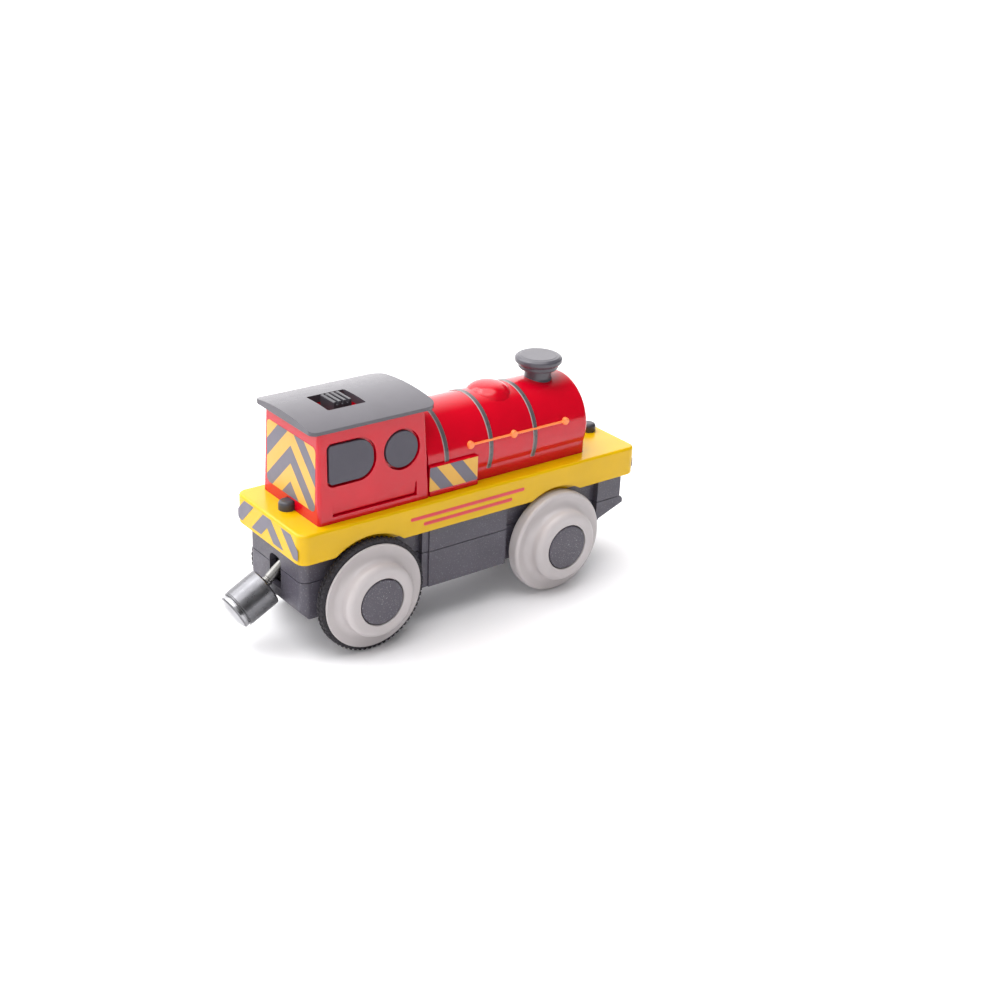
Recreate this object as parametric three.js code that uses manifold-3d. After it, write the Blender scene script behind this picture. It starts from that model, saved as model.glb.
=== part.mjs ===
// Battery toy locomotive for a wooden railway: a saddle of red cab and boiler on a yellow deck,
// over a dark chassis with two wheelsets, a geared motor, one AAA cell and a magnet coupling.
// Millimetres, +Z up, +X towards the chimney, ground at z = 0, origin under the middle of the box.
// Inside the model group, x = 0 is the rear axle; REAR_AXLE_X carries that to the origin.
import * as THREE from "three";
import { mergeVertices } from "three/addons/utils/BufferGeometryUtils.js";
import Module from "manifold-3d";

const wasm = await Module();
wasm.setup();

// ---- driving dimensions ----
const REAR_AXLE_X = -24.593;
const GAP = 0.1; // between pieces that touch
const WHEELBASE = 52.5;
const WHEEL_FACE_Y = 16; // outer face of each wheel's rim, so 32 over the wheels
const WHEEL_BACK_Y = 13.3;
const HUB_FACE_Y = 19.35;
const HUB_CAP = { radius: 5.4, back: HUB_FACE_Y - 2.3, face: HUB_FACE_Y + 0.05 };
const TYRE_RADIUS = 13.4;
const REAR_WHEEL_RADIUS = 12.4;
const FRONT_WHEEL_RADIUS = 12.7;
const AXLE_RADIUS = 1.25;

const DECK = { x0: -17.6, x1: 77.4, halfWidth: 14.2, z0: 24.4, z1: 31.6, corner: 2.4, edge: 0.7 };
const DECK_WALL = 2;
const ARCH_CLEARANCE = 0.85;
const FRONT_CLEARANCE = 1.25;
const ARCH_DEPTH_Y = 12.3; // the arches are cut in from the side to here

const CAB = { x0: -11.7, x1: 17.2, halfWidth: 11.95, z0: DECK.z1, z1: 53 };
const CAB_TOP = { x0: -11.3, x1: 16.1, halfWidth: 11.1 };
const CAB_WALL = 1.6;
const CAB_CORNER = 0.9;
const CAB_CEILING = { z0: 49.9, z1: 51.4 };

const CAB_PANEL = { x0: -8.2, x1: 13.6, z0: 33.1, z1: 36.9, depth: 0.6 }; // slants in towards its foot

const ROOF = { x0: -13.4, x1: 18.9, halfWidth: 12.1, crown: 54.7, drop: 1.15, z0: 52.75, corner: 3 };
const ROOF_HOLE = { x0: -4.8, x1: 4.8, halfWidth: 4.55 };
const KNOB_SLOT = { halfLength: 4.1, halfWidth: 1.6 };

const BOILER = { x0: CAB.x1 + GAP, x1: 64, axisZ: 38.5, z0: DECK.z1, radius: 10.9, half: 10.2, edge: 1.3 };
const BOILER_WALL = 1.6;
const BAND_XS = [22.3, 34.8, 47.7];
const BAND = { width: 1.15, proud: 0.22, z0: 34.2 };
const DOME = { x: 41.6, radius: 4.1, top: 50.75 };
const HANDRAIL = { z: 41.3, knobXs: [29, 41.4, 56.8], knobRadius: 0.95, proud: 0.45, height: 0.55 };
const STRIPE_BOX = { x1: 30.6, halfWidth: 11.9, z1: 38.9 };
const DOOR = { radius: 7.4, proud: 0.7, z: 40.4 };

const CHIMNEY_X = 56.35;
const CHIMNEY_SPIGOT = 2;
const STUD = { rearX: -12.6, frontX: 73.6, radius: 1.9, stem: 1.2, top: 33.7, depth: 2.4 };

// The chassis is narrow beside the wheels, and wide between them and at the nose.
const NARROW = 11.6;
const WIDE = 13.3;
const CHASSIS = { x0: -15.8, x1: 74, seam: 18.7, wall: 1.5, floor: 1.2, z0: 9.8 };
const BATTERY = { x0: 6, x1: 49.5, radius: 5.2, z: 16.5, nub: 1 };
const GEAR_MODULE = 0.4;
const GEAR_FACE = { y0: 6.2, y1: 8.8 };
const IDLER_X = -2.5;
const WORM_RADIUS = 1.42;
const MOTOR = { x0: 3.4, x1: 15.4, radius: 5, flat: 4.2 };
const IDLER_SHAFT = 0.9;
const WHEEL_SIDES = 30;
const BUSH = { outer: 2.1, flange: 3, inner: AXLE_RADIUS + 0.08 };

const SLOT = { halfWidth: 2.1, top: 20.9, bottom: 13.6 };
const COUPLING_PIVOT = { x: -13.1, z: 19.4 };
const SHAFT = { radius: 1.25, length: 10.3, droop: 40.7 };
const YOKE_PIN = 1;
const YOKE_RADIUS = 1.9;
const BARREL = { radius: 4.5, behind: 3, ahead: 5, droop: 28, mouth: 3.2 };

// ---- solids from three.js geometry ----
function solid(geometry) {
  const bare = geometry.index ? geometry.toNonIndexed() : geometry.clone();
  bare.deleteAttribute("normal");
  bare.deleteAttribute("uv");
  const merged = mergeVertices(bare, 1e-4);
  return new wasm.Manifold(
    new wasm.Mesh({
      numProp: 3,
      vertProperties: new Float32Array(merged.attributes.position.array),
      triVerts: new Uint32Array(merged.index.array),
    }),
  );
}

function geometryOf(body) {
  const mesh = body.getMesh();
  const geometry = new THREE.BufferGeometry();
  geometry.setAttribute("position", new THREE.BufferAttribute(mesh.vertProperties, 3));
  geometry.setIndex(new THREE.BufferAttribute(mesh.triVerts, 1));
  const faceted = geometry.toNonIndexed();
  faceted.computeVertexNormals();
  return faceted;
}

const join = (first, ...rest) => rest.reduce((a, b) => a.add(b), first);
const cut = (first, ...rest) => rest.reduce((a, b) => a.subtract(b), first);
const bothSides = (make) => [make(-1), make(1)];

function box(x0, x1, y0, y1, z0, z1) {
  const g = new THREE.BoxGeometry(x1 - x0, y1 - y0, z1 - z0);
  return solid(g.translate((x0 + x1) / 2, (y0 + y1) / 2, (z0 + z1) / 2));
}

// A cylinder along "x", "y" or "z" from a to b, with its axis through the other two coordinates.
function rod(axis, radius, a, b, u, v, sides = 14) {
  const g = new THREE.CylinderGeometry(radius, radius, b - a, sides);
  if (axis === "x") return solid(g.rotateZ(-Math.PI / 2).translate((a + b) / 2, u, v));
  if (axis === "y") return solid(g.translate(u, (a + b) / 2, v));
  return solid(g.rotateX(Math.PI / 2).translate(u, v, (a + b) / 2));
}

// A turned shape: profile is [radius, height] pairs from the axis back to the axis.
function turned(profile, sides = 24) {
  const points = profile.map(([r, h]) => new THREE.Vector2(r, h));
  return new THREE.LatheGeometry(points, sides);
}

// A closed solid through rings that hold the same number of points, each ring convex.
function loft(rings) {
  const count = rings[0].length;
  const points = rings.flat();
  const faces = [];
  for (let r = 0; r + 1 < rings.length; r++) {
    for (let i = 0; i < count; i++) {
      const a = r * count + i;
      const b = r * count + ((i + 1) % count);
      faces.push(a, b, a + count, b, b + count, a + count);
    }
  }
  const last = (rings.length - 1) * count;
  for (let i = 1; i + 1 < count; i++) {
    faces.push(0, i + 1, i, last, last + i, last + i + 1);
  }
  const geometry = new THREE.BufferGeometry().setFromPoints(points);
  geometry.setIndex(faces);
  return geometry;
}

function roundedRectangle(x0, x1, halfWidth, corner, steps = 5) {
  const points = [];
  const centres = [
    [x1 - corner, halfWidth - corner],
    [x0 + corner, halfWidth - corner],
    [x0 + corner, corner - halfWidth],
    [x1 - corner, corner - halfWidth],
  ];
  centres.forEach(([cx, cy], quarter) => {
    for (let i = 0; i <= steps; i++) {
      const angle = ((quarter + i / steps) * Math.PI) / 2;
      points.push([cx + corner * Math.cos(angle), cy + corner * Math.sin(angle)]);
    }
  });
  return points;
}

const at = (outline, z) => outline.map(([x, y]) => new THREE.Vector3(x, y, z));

// A flat outline in plan, extruded from z0 to z1.
function plate(outline, z0, z1) {
  const shape = new THREE.Shape(outline.map(([x, y]) => new THREE.Vector2(x, y)));
  const g = new THREE.ExtrudeGeometry(shape, { depth: z1 - z0, bevelEnabled: false });
  return solid(g.translate(0, 0, z0));
}

// A flat outline of [x, z] pairs, extruded from y0 to y1.
function sidePlate(outline, y0, y1) {
  const shape = new THREE.Shape(outline.map(([x, z]) => new THREE.Vector2(x, z)));
  const g = new THREE.ExtrudeGeometry(shape, { depth: y1 - y0, bevelEnabled: false });
  return solid(g.rotateX(Math.PI / 2).translate(0, y1, 0));
}

// ---- scene graph ----
const object = new THREE.Group();
const model = new THREE.Group();
model.position.x = REAR_AXLE_X;
object.add(model);

const finishes = {
  yellow: new THREE.MeshStandardMaterial({ color: 0xf6c800, roughness: 0.3, metalness: 0 }),
  red: new THREE.MeshStandardMaterial({ color: 0xd4001f, roughness: 0.22, metalness: 0 }),
  grey: new THREE.MeshStandardMaterial({ color: 0x5a5860, roughness: 0.35, metalness: 0 }),
  chassis: new THREE.MeshStandardMaterial({ color: 0x4b4a52, roughness: 0.55, metalness: 0 }),
  wheel: new THREE.MeshStandardMaterial({ color: 0xc9c5c4, roughness: 0.4, metalness: 0 }),
  rubber: new THREE.MeshStandardMaterial({ color: 0x1d1b1f, roughness: 0.8, metalness: 0 }),
  steel: new THREE.MeshStandardMaterial({ color: 0xb8bcc0, roughness: 0.25, metalness: 1 }),
  brass: new THREE.MeshStandardMaterial({ color: 0xc9a24b, roughness: 0.3, metalness: 1 }),
  gear: new THREE.MeshStandardMaterial({ color: 0xe9e6dc, roughness: 0.5, metalness: 0 }),
  board: new THREE.MeshStandardMaterial({ color: 0x1f6a3a, roughness: 0.5, metalness: 0 }),
};

function add(name, body, finish, parent = model) {
  const geometry = body.isBufferGeometry ? body : geometryOf(body);
  const mesh = new THREE.Mesh(geometry, finishes[finish]);
  mesh.name = name;
  parent.add(mesh);
  return mesh;
}

// ---- deck ----
const AXLES = [
  { end: "rear", x: 0, z: TYRE_RADIUS, arch: TYRE_RADIUS + ARCH_CLEARANCE },
  { end: "front", x: WHEELBASE, z: FRONT_WHEEL_RADIUS, arch: FRONT_WHEEL_RADIUS + FRONT_CLEARANCE },
];

function archCutters() {
  return AXLES.flatMap(({ x, z, arch }) =>
    bothSides((side) => {
      const inner = side * ARCH_DEPTH_Y;
      const outer = side * (DECK.halfWidth + 1);
      return rod("y", arch, Math.min(inner, outer), Math.max(inner, outer), x, z, 44);
    }),
  );
}

const MOTOR_WELL = { x0: -8.6, x1: 16.8, halfWidth: 9.6 };

function deck() {
  const outline = (inset) =>
    roundedRectangle(DECK.x0 + inset, DECK.x1 - inset, DECK.halfWidth - inset, DECK.corner - inset, 6);
  const slant = DECK.edge * (1 - Math.SQRT1_2);
  const shell = solid(
    loft([
      at(outline(0.3), DECK.z0),
      at(outline(0), DECK.z0 + 0.3),
      at(outline(0), DECK.z1 - DECK.edge),
      at(outline(slant), DECK.z1 - slant),
      at(outline(DECK.edge), DECK.z1),
    ]),
  );
  const underside = box(
    DECK.x0 + DECK_WALL,
    DECK.x1 - DECK_WALL,
    -DECK.halfWidth + DECK_WALL,
    DECK.halfWidth - DECK_WALL,
    DECK.z0 - 1,
    DECK.z1 - DECK_WALL,
  );
  const well = box(
    MOTOR_WELL.x0,
    MOTOR_WELL.x1,
    -MOTOR_WELL.halfWidth,
    MOTOR_WELL.halfWidth,
    DECK.z0,
    DECK.z1 + 1,
  );
  const archWalls = AXLES.flatMap(({ x, z, arch }) =>
    bothSides((side) => {
      const inner = side * (ARCH_DEPTH_Y - 1.2);
      const outer = side * (DECK.halfWidth - 0.5);
      const wall = rod("y", arch + 1.4, Math.min(inner, outer), Math.max(inner, outer), x, z, 44);
      const slab = box(x - 12, x + 12, -DECK.halfWidth, DECK.halfWidth, DECK.z0, DECK.z1 - 0.5);
      return wall.intersect(slab);
    }),
  );
  return cut(join(cut(shell, underside, well), ...archWalls), ...archCutters(), ...studHoles());
}

function studCentres() {
  return [
    ["rear_deck_stud", STUD.rearX],
    ["front_deck_stud", STUD.frontX],
  ];
}

function studHoles() {
  return studCentres().map(([, x]) => rod("z", STUD.stem + 0.05, DECK.z0, DECK.z1 + 1, x, 0, 20));
}

function stud() {
  return solid(
    turned([
      [0, DECK.z1 - STUD.depth],
      [STUD.stem, DECK.z1 - STUD.depth],
      [STUD.stem, DECK.z1 + 0.02],
      [STUD.radius, DECK.z1 + 0.02],
      [STUD.radius, STUD.top - 1.1],
      [STUD.radius * 0.87, STUD.top - 0.55],
      [STUD.radius * 0.5, STUD.top - 0.15],
      [0, STUD.top],
    ]).rotateX(Math.PI / 2),
  );
}

// ---- cab and roof ----
function cabOutline(height, inset) {
  const t = (height - CAB.z0) / (CAB.z1 - CAB.z0);
  const mix = (a, b) => a + (b - a) * t;
  return roundedRectangle(
    mix(CAB.x0, CAB_TOP.x0) + inset,
    mix(CAB.x1, CAB_TOP.x1) - inset,
    mix(CAB.halfWidth, CAB_TOP.halfWidth) - inset,
    Math.max(CAB_CORNER - inset, 0.3),
    4,
  );
}

const cabSideY = (z) =>
  CAB.halfWidth + ((CAB_TOP.halfWidth - CAB.halfWidth) * (z - CAB.z0)) / (CAB.z1 - CAB.z0);

// The roof's arch: height of its top at a distance y from the middle.
const roofTop = (y) => ROOF.crown - ROOF.drop * (y / ROOF.halfWidth) ** 2;

// A slab under the roof's arch, flat below.
function underArch() {
  const steps = 24;
  const reach = ROOF.halfWidth + 1;
  const ring = (x) => {
    const points = [new THREE.Vector3(x, reach, ROOF.z0), new THREE.Vector3(x, -reach, ROOF.z0)];
    for (let i = 0; i <= steps; i++) {
      const y = -reach + (2 * reach * i) / steps;
      points.push(new THREE.Vector3(x, y, roofTop(y)));
    }
    return points;
  };
  return solid(loft([ring(ROOF.x1), ring(ROOF.x0)]));
}

const WINDOW_DEPTH = 0.35;
const D_WINDOW = { x0: -8.8, x1: 2.5, z0: 40.5, z1: 49.4, back: 1.1, front: 4 };
const ROUND_WINDOW = { x: 9.75, z: 44.8, radius: 4.2 };

function dWindowOutline() {
  const { x0, x1, z0, z1, back, front } = D_WINDOW;
  const shape = new THREE.Shape();
  shape.moveTo(x0 + back, z0);
  shape.lineTo(x1 - front, z0);
  shape.quadraticCurveTo(x1, z0, x1, z0 + front);
  shape.lineTo(x1, z1 - front);
  shape.quadraticCurveTo(x1, z1, x1 - front, z1);
  shape.lineTo(x0 + back, z1);
  shape.quadraticCurveTo(x0, z1, x0, z1 - back);
  shape.lineTo(x0, z0 + back);
  shape.quadraticCurveTo(x0, z0, x0 + back, z0);
  return shape.getPoints(8).map((p) => [p.x, p.y]);
}

// The slanting recess under the windows: flush along its top, deepest along its foot.
function panelRecess(side) {
  const { x0, x1, z0, z1, depth } = CAB_PANEL;
  const away = CAB.halfWidth + 2;
  const corners = [
    [cabSideY(z0) - depth, z0],
    [away, z0],
    [away, z1],
    [cabSideY(z1), z1],
  ];
  if (side < 0) corners.reverse();
  const ring = (x) => corners.map(([y, z]) => new THREE.Vector3(x, side * y, z));
  return solid(loft([ring(x0), ring(x1)]));
}

function windowRecesses(side) {
  const face = side * (cabSideY((D_WINDOW.z0 + D_WINDOW.z1) / 2) - WINDOW_DEPTH);
  const away = side * (CAB.halfWidth + 2);
  const y0 = Math.min(face, away);
  const y1 = Math.max(face, away);
  const round = rod("y", ROUND_WINDOW.radius, y0, y1, ROUND_WINDOW.x, ROUND_WINDOW.z, 40);
  return join(sidePlate(dWindowOutline(), y0, y1), round);
}

function cabShell() {
  const top = ROOF.z0 - GAP / 2;
  const outer = solid(loft([at(cabOutline(CAB.z0, 0), CAB.z0), at(cabOutline(top, 0), top)]));
  const inner = solid(
    loft([
      at(cabOutline(CAB.z0 - 1, CAB_WALL), CAB.z0 - 1),
      at(cabOutline(CAB_CEILING.z0, CAB_WALL), CAB_CEILING.z0),
    ]),
  );
  const well = box(ROOF_HOLE.x0, ROOF_HOLE.x1, -ROOF_HOLE.halfWidth, ROOF_HOLE.halfWidth, CAB_CEILING.z1, 60);
  const knobSlot = box(
    -KNOB_SLOT.halfLength,
    KNOB_SLOT.halfLength,
    -KNOB_SLOT.halfWidth,
    KNOB_SLOT.halfWidth,
    CAB_CEILING.z0 - 1,
    60,
  );
  const studNotch = rod("z", STUD.radius + 0.06, CAB.z0 - 1, STUD.top + 0.05, STUD.rearX, 0, 24);
  const sides = [...bothSides(windowRecesses), ...bothSides(panelRecess)];
  return cut(outer, inner, well, knobSlot, studNotch, ...sides);
}

function roof() {
  const plan = plate(roundedRectangle(ROOF.x0, ROOF.x1, ROOF.halfWidth, ROOF.corner, 6), 40, 60);
  const hole = box(ROOF_HOLE.x0, ROOF_HOLE.x1, -ROOF_HOLE.halfWidth, ROOF_HOLE.halfWidth, 40, 60);
  return cut(underArch().intersect(plan), hole);
}

// ---- boiler ----
// Section at x, drawn inward by inset: round above, with a straight-sided base down to a floor height.
function boilerRing(x, inset, floor) {
  const radius = BOILER.radius - inset;
  const half = BOILER.half - inset;
  const below = Math.acos(half / radius);
  const sweep = Math.PI + 2 * below;
  const steps = 22;
  const points = [new THREE.Vector3(x, half, floor)];
  for (let i = 0; i <= steps; i++) {
    const angle = (sweep * i) / steps - below;
    points.push(new THREE.Vector3(x, radius * Math.cos(angle), BOILER.axisZ + radius * Math.sin(angle)));
  }
  points.push(new THREE.Vector3(x, -half, floor));
  return points;
}

function boilerSlab(x0, x1, inset, floor) {
  return solid(loft([boilerRing(x0, inset, floor), boilerRing(x1, inset, floor)]));
}

function dome() {
  const foot = BOILER.axisZ + BOILER.radius - 2.5;
  const profile = [
    [0, foot],
    [DOME.radius, foot],
  ];
  const rise = DOME.top - BOILER.axisZ - BOILER.radius + 1.2;
  for (let i = 0; i <= 8; i++) {
    const angle = (i / 8) * (Math.PI / 2);
    profile.push([DOME.radius * Math.cos(angle) ** 0.7, DOME.top - rise + rise * Math.sin(angle)]);
  }
  profile[profile.length - 1][0] = 0;
  return solid(turned(profile, 28).rotateX(Math.PI / 2)).translate([DOME.x, 0, 0]);
}

function handrail(side) {
  const wall = side * (BOILER.radius - 0.8);
  const face = side * (BOILER.radius + HANDRAIL.proud - 0.3);
  const y0 = Math.min(wall, face);
  const y1 = Math.max(wall, face);
  const first = HANDRAIL.knobXs[0];
  const last = HANDRAIL.knobXs.at(-1);
  const rail = box(first, last, y0, y1, HANDRAIL.z - HANDRAIL.height / 2, HANDRAIL.z + HANDRAIL.height / 2);
  const knobs = HANDRAIL.knobXs.map((x) => {
    const tip = side * (BOILER.radius + HANDRAIL.proud);
    return rod("y", HANDRAIL.knobRadius, Math.min(wall, tip), Math.max(wall, tip), x, HANDRAIL.z, 16);
  });
  return join(rail, ...knobs);
}

function boilerShell() {
  const nose = [0, 30, 60, 90].map((degrees) => {
    const angle = THREE.MathUtils.degToRad(degrees);
    const x = BOILER.x1 - BOILER.edge + BOILER.edge * Math.sin(angle);
    return boilerRing(x, BOILER.edge * (1 - Math.cos(angle)), BOILER.z0);
  });
  const outer = solid(loft([boilerRing(BOILER.x0, 0, BOILER.z0), ...nose]));
  const hollow = boilerSlab(BOILER.x0 + BOILER_WALL, BOILER.x1 - BOILER_WALL - 1, BOILER_WALL, BOILER.z0 - 1);
  const bands = BAND_XS.map((x) => boilerSlab(x - BAND.width / 2, x + BAND.width / 2, -BAND.proud, BAND.z0));
  const stripeBox = box(
    BOILER.x0,
    STRIPE_BOX.x1,
    -STRIPE_BOX.halfWidth,
    STRIPE_BOX.halfWidth,
    BOILER.z0,
    STRIPE_BOX.z1,
  );
  const door = rod("x", DOOR.radius, BOILER.x1 - 1, BOILER.x1 + DOOR.proud, 0, DOOR.z, 40);
  const spigotHole = rod("z", CHIMNEY_SPIGOT + 0.06, 45, 60, CHIMNEY_X, 0, 20);
  return cut(
    join(outer, ...bands, stripeBox, dome(), door, ...bothSides(handrail)),
    hollow,
    spigotHole,
  );
}

function chimney() {
  const pot = turned(
    [
      [0, 47.2],
      [4.1, 47.2],
      [3.7, 48.8],
      [3.25, 49.6],
      [3.25, 51.3],
      [4.6, 51.7],
      [4.75, 52.5],
      [5.4, 53],
      [5.7, 53.7],
      [5.4, 54.4],
      [4.8, 54.7],
      [0, 54.75],
    ],
    26,
  ).rotateX(Math.PI / 2);
  const saddle = boilerSlab(CHIMNEY_X - 8, CHIMNEY_X + 8, -0.04, 30);
  const spigot = rod("z", CHIMNEY_SPIGOT, 47, 50, CHIMNEY_X, 0, 20);
  return join(cut(solid(pot).translate([CHIMNEY_X, 0, 0]), saddle), spigot);
}

// ---- chassis ----
// Half outline from rear to front, mirrored for the other half.
function chassisOutline(inset) {
  const half = [[CHASSIS.x0 + inset, 9.7 - inset]];
  for (let i = 1; i <= 4; i++) {
    const angle = (i / 4) * (Math.PI / 2);
    half.push([
      CHASSIS.x0 + 1.9 - (1.9 - inset) * Math.cos(angle),
      NARROW - 1.9 + (1.9 - inset) * Math.sin(angle),
    ]);
  }
  half.push(
    [14.6 + inset, NARROW - inset],
    [14.6 + inset, WIDE - 0.35 - inset],
    [16.4 + inset, WIDE - 0.35 - inset],
    [16.4 + inset, WIDE - inset],
    [38.4 - inset, WIDE - inset],
    [38.4 - inset, NARROW - inset],
    [66.4 + inset, NARROW - inset],
    [66.4 + inset, WIDE - inset],
    [CHASSIS.x1 - 0.6 - inset, WIDE - inset],
    [CHASSIS.x1 - inset, WIDE - 0.6 - inset],
  );
  const mirrored = [...half].reverse().map(([x, y]) => [x, -y]);
  return [...half, ...mirrored].reverse();
}

function couplingSlot() {
  const x0 = CHASSIS.x0 - 1;
  const x1 = CHASSIS.x0 + CHASSIS.wall + 0.5;
  const centre = SLOT.top - SLOT.halfWidth;
  const turningRoom = YOKE_RADIUS + 0.2;
  return join(
    box(x0, x1, -SLOT.halfWidth, SLOT.halfWidth, SLOT.bottom, centre),
    rod("x", SLOT.halfWidth, x0, x1, 0, centre, 24),
    rod("z", turningRoom, COUPLING_PIVOT.z - 2.5, COUPLING_PIVOT.z + 2.4, COUPLING_PIVOT.x, 0, 20),
  );
}

const SCREWS = [
  { x: -10.6, y: -7.4 },
  { x: -10.6, y: 7.4 },
  { x: 60, y: -7.8 },
  { x: 60, y: 7.8 },
];
const SCREW = { shank: 1, head: 1.9, headHeight: 1.3, top: 22.4 };
const COVER_SCREW = { x: 27.4, y: -9.2 };

function chassisUpper() {
  const z1 = DECK.z0 - GAP;
  const roofZ = z1 - CHASSIS.floor;
  const outer = plate(chassisOutline(0), CHASSIS.seam + GAP / 2, z1);
  const hollow = plate(chassisOutline(CHASSIS.wall), CHASSIS.seam - 1, roofZ);
  const gearOpening = box(-9.2, 3.2, -5.6, 9.4, roofZ - 1, z1 + 1);
  const motorOpening = box(3, 16.2, -5.6, 5.6, roofZ - 1, z1 + 1);
  const bosses = SCREWS.map(({ x, y }) => rod("z", 2, CHASSIS.seam + GAP / 2, roofZ + 0.4, x, y));
  const pilots = SCREWS.map(({ x, y }) => {
    return rod("z", SCREW.shank + 0.06, CHASSIS.seam - 1, SCREW.top + 0.2, x, y);
  });
  const shaftHoles = rod("y", IDLER_SHAFT + 0.06, -10.9, 10.9, IDLER_X, idlerZ, 16);
  const yokeHole = rod("z", YOKE_PIN + 0.06, CHASSIS.seam, z1 + 1, COUPLING_PIVOT.x, 0, 16);
  const body = join(cut(outer, hollow, gearOpening, motorOpening), ...bosses);
  return cut(body, ...pilots, shaftHoles, yokeHole, couplingSlot());
}

function lowerSide(y0, y1) {
  const outline = [
    [CHASSIS.x0 - 1, CHASSIS.seam - GAP / 2],
    [CHASSIS.x0 - 1, 11.4],
    [CHASSIS.x0 + 0.6, 10.9],
    [CHASSIS.x0 + 2.4, CHASSIS.z0],
    [62.5, CHASSIS.z0],
    [67.4, 14.2],
    [CHASSIS.x1 + 0.8, 16.9],
    [CHASSIS.x1 + 0.8, 17.8],
    [CHASSIS.x1 + 0.2, CHASSIS.seam - GAP / 2],
  ];
  return sidePlate(outline, y0, y1);
}

function coverOutline(grow) {
  return [
    [4.2 - grow, -6.2 - grow],
    [23 - grow, -6.2 - grow],
    [23 - grow, -11.6 - grow],
    [32 + grow, -11.6 - grow],
    [32 + grow, -6.2 - grow],
    [49.8 + grow, -6.2 - grow],
    [49.8 + grow, 6.2 + grow],
    [4.2 - grow, 6.2 + grow],
  ];
}

function chassisLower() {
  const lip = 0.8;
  const stretched = plate(
    chassisOutline(0.04).map(([x, y]) => [x > 70 ? x + lip : x, y]),
    CHASSIS.z0 - 1,
    CHASSIS.seam,
  );
  const outer = lowerSide(-WIDE - 1, WIDE + 1).intersect(stretched);
  const trayFloor = CHASSIS.z0 + CHASSIS.floor;
  const tray = plate(chassisOutline(CHASSIS.wall), trayFloor, CHASSIS.seam + 1).intersect(
    sidePlate(
      [
        [-14, trayFloor],
        [62, trayFloor],
        [67, 15.6],
        [72.4, 17.2],
        [72.4, CHASSIS.seam + 1],
        [-14.4, CHASSIS.seam + 1],
        [-14.4, trayFloor + 0.6],
      ],
      -WIDE,
      WIDE,
    ),
  );
  const seam = CHASSIS.seam - GAP / 2;
  const bosses = SCREWS.map(({ x, y }) => rod("z", 2.1, trayFloor - 0.5, seam, x, y));
  const coverBoss = join(
    rod("z", 2.1, trayFloor + GAP, seam, COVER_SCREW.x, COVER_SCREW.y),
    box(COVER_SCREW.x - 1, COVER_SCREW.x + 1, -WIDE + 0.5, COVER_SCREW.y, trayFloor + GAP, seam),
  );
  const clearances = SCREWS.map(({ x, y }) =>
    join(
      rod("z", SCREW.shank + 0.1, CHASSIS.z0 - 1, CHASSIS.seam + 1, x, y),
      rod("z", SCREW.head + 0.15, CHASSIS.z0 - 1, CHASSIS.z0 + SCREW.headHeight + 0.3, x, y),
    ),
  );
  const coverPilot = rod("z", SCREW.shank + 0.06, CHASSIS.z0 - 1, 17.2, COVER_SCREW.x, COVER_SCREW.y);
  const axleHoles = AXLES.map(({ x, z }) => rod("y", BUSH.outer + 0.05, -WIDE, WIDE, x, z, 24));
  const gearPocket = box(-4, 4, GEAR_FACE.y0 - 0.4, GEAR_FACE.y1 + 0.4, CHASSIS.z0 + 0.5, trayFloor + 1);
  const opening = plate(coverOutline(GAP), CHASSIS.z0 - 1, trayFloor + GAP);
  const body = join(cut(outer, tray, opening), ...bosses, coverBoss);
  return cut(body, ...clearances, coverPilot, ...axleHoles, gearPocket, couplingSlot());
}

function batteryCover() {
  const body = plate(coverOutline(0), CHASSIS.z0, CHASSIS.z0 + CHASSIS.floor);
  const grips = [36, 38, 40, 42, 44].map((x) => box(x, x + 1, -3, 3, CHASSIS.z0 - 1, CHASSIS.z0 + 0.4));
  const screwHole = rod("z", SCREW.shank + 0.1, CHASSIS.z0 - 1, CHASSIS.z0 + 3, COVER_SCREW.x, COVER_SCREW.y);
  const sink = rod("z", SCREW.head + 0.15, CHASSIS.z0 - 1, CHASSIS.z0 + 0.7, COVER_SCREW.x, COVER_SCREW.y);
  return cut(body, ...grips, screwHole, sink);
}

// A cross-head screw, head down at z, shank up to z1.
function screw(z, z1, headHeight) {
  const body = solid(
    turned(
      [
        [0, z],
        [SCREW.head * 0.75, z],
        [SCREW.head, z + headHeight * 0.45],
        [SCREW.head, z + headHeight],
        [SCREW.shank, z + headHeight],
        [SCREW.shank, z1 - 0.8],
        [0.2, z1],
        [0, z1],
      ],
      12,
    ).rotateX(Math.PI / 2),
  );
  const depth = headHeight * 0.55;
  return cut(
    body,
    box(-1.1, 1.1, -0.22, 0.22, z - 1, z + depth),
    box(-0.22, 0.22, -1.1, 1.1, z - 1, z + depth),
  );
}

// ---- running gear ----
// Lathe profiles below run along +Y: [radius, distance from the middle of the loco].
function wheelProfile(radius, treadRadius, grooved) {
  const face = WHEEL_FACE_Y;
  const tread = grooved
    ? [
        [radius, WHEEL_BACK_Y - 0.7],
        [radius, WHEEL_BACK_Y],
        [treadRadius, WHEEL_BACK_Y],
        [treadRadius, face - 0.55],
        [radius, face - 0.55],
      ]
    : [
        [radius - 0.4, WHEEL_BACK_Y - 0.7],
        [radius, WHEEL_BACK_Y - 0.2],
      ];
  return [
    [AXLE_RADIUS + 0.03, WHEEL_BACK_Y - 0.7],
    ...tread,
    [radius, face - 0.3],
    [radius - 0.4, face],
    [9, face - 0.6],
    [8.8, HUB_FACE_Y - 1],
    [7.8, HUB_FACE_Y],
    [HUB_CAP.radius + 0.25, HUB_FACE_Y],
    [HUB_CAP.radius + 0.25, HUB_FACE_Y - 2.6],
    [AXLE_RADIUS + 0.03, HUB_FACE_Y - 2.6],
    [AXLE_RADIUS + 0.03, WHEEL_BACK_Y - 0.7],
  ];
}

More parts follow.
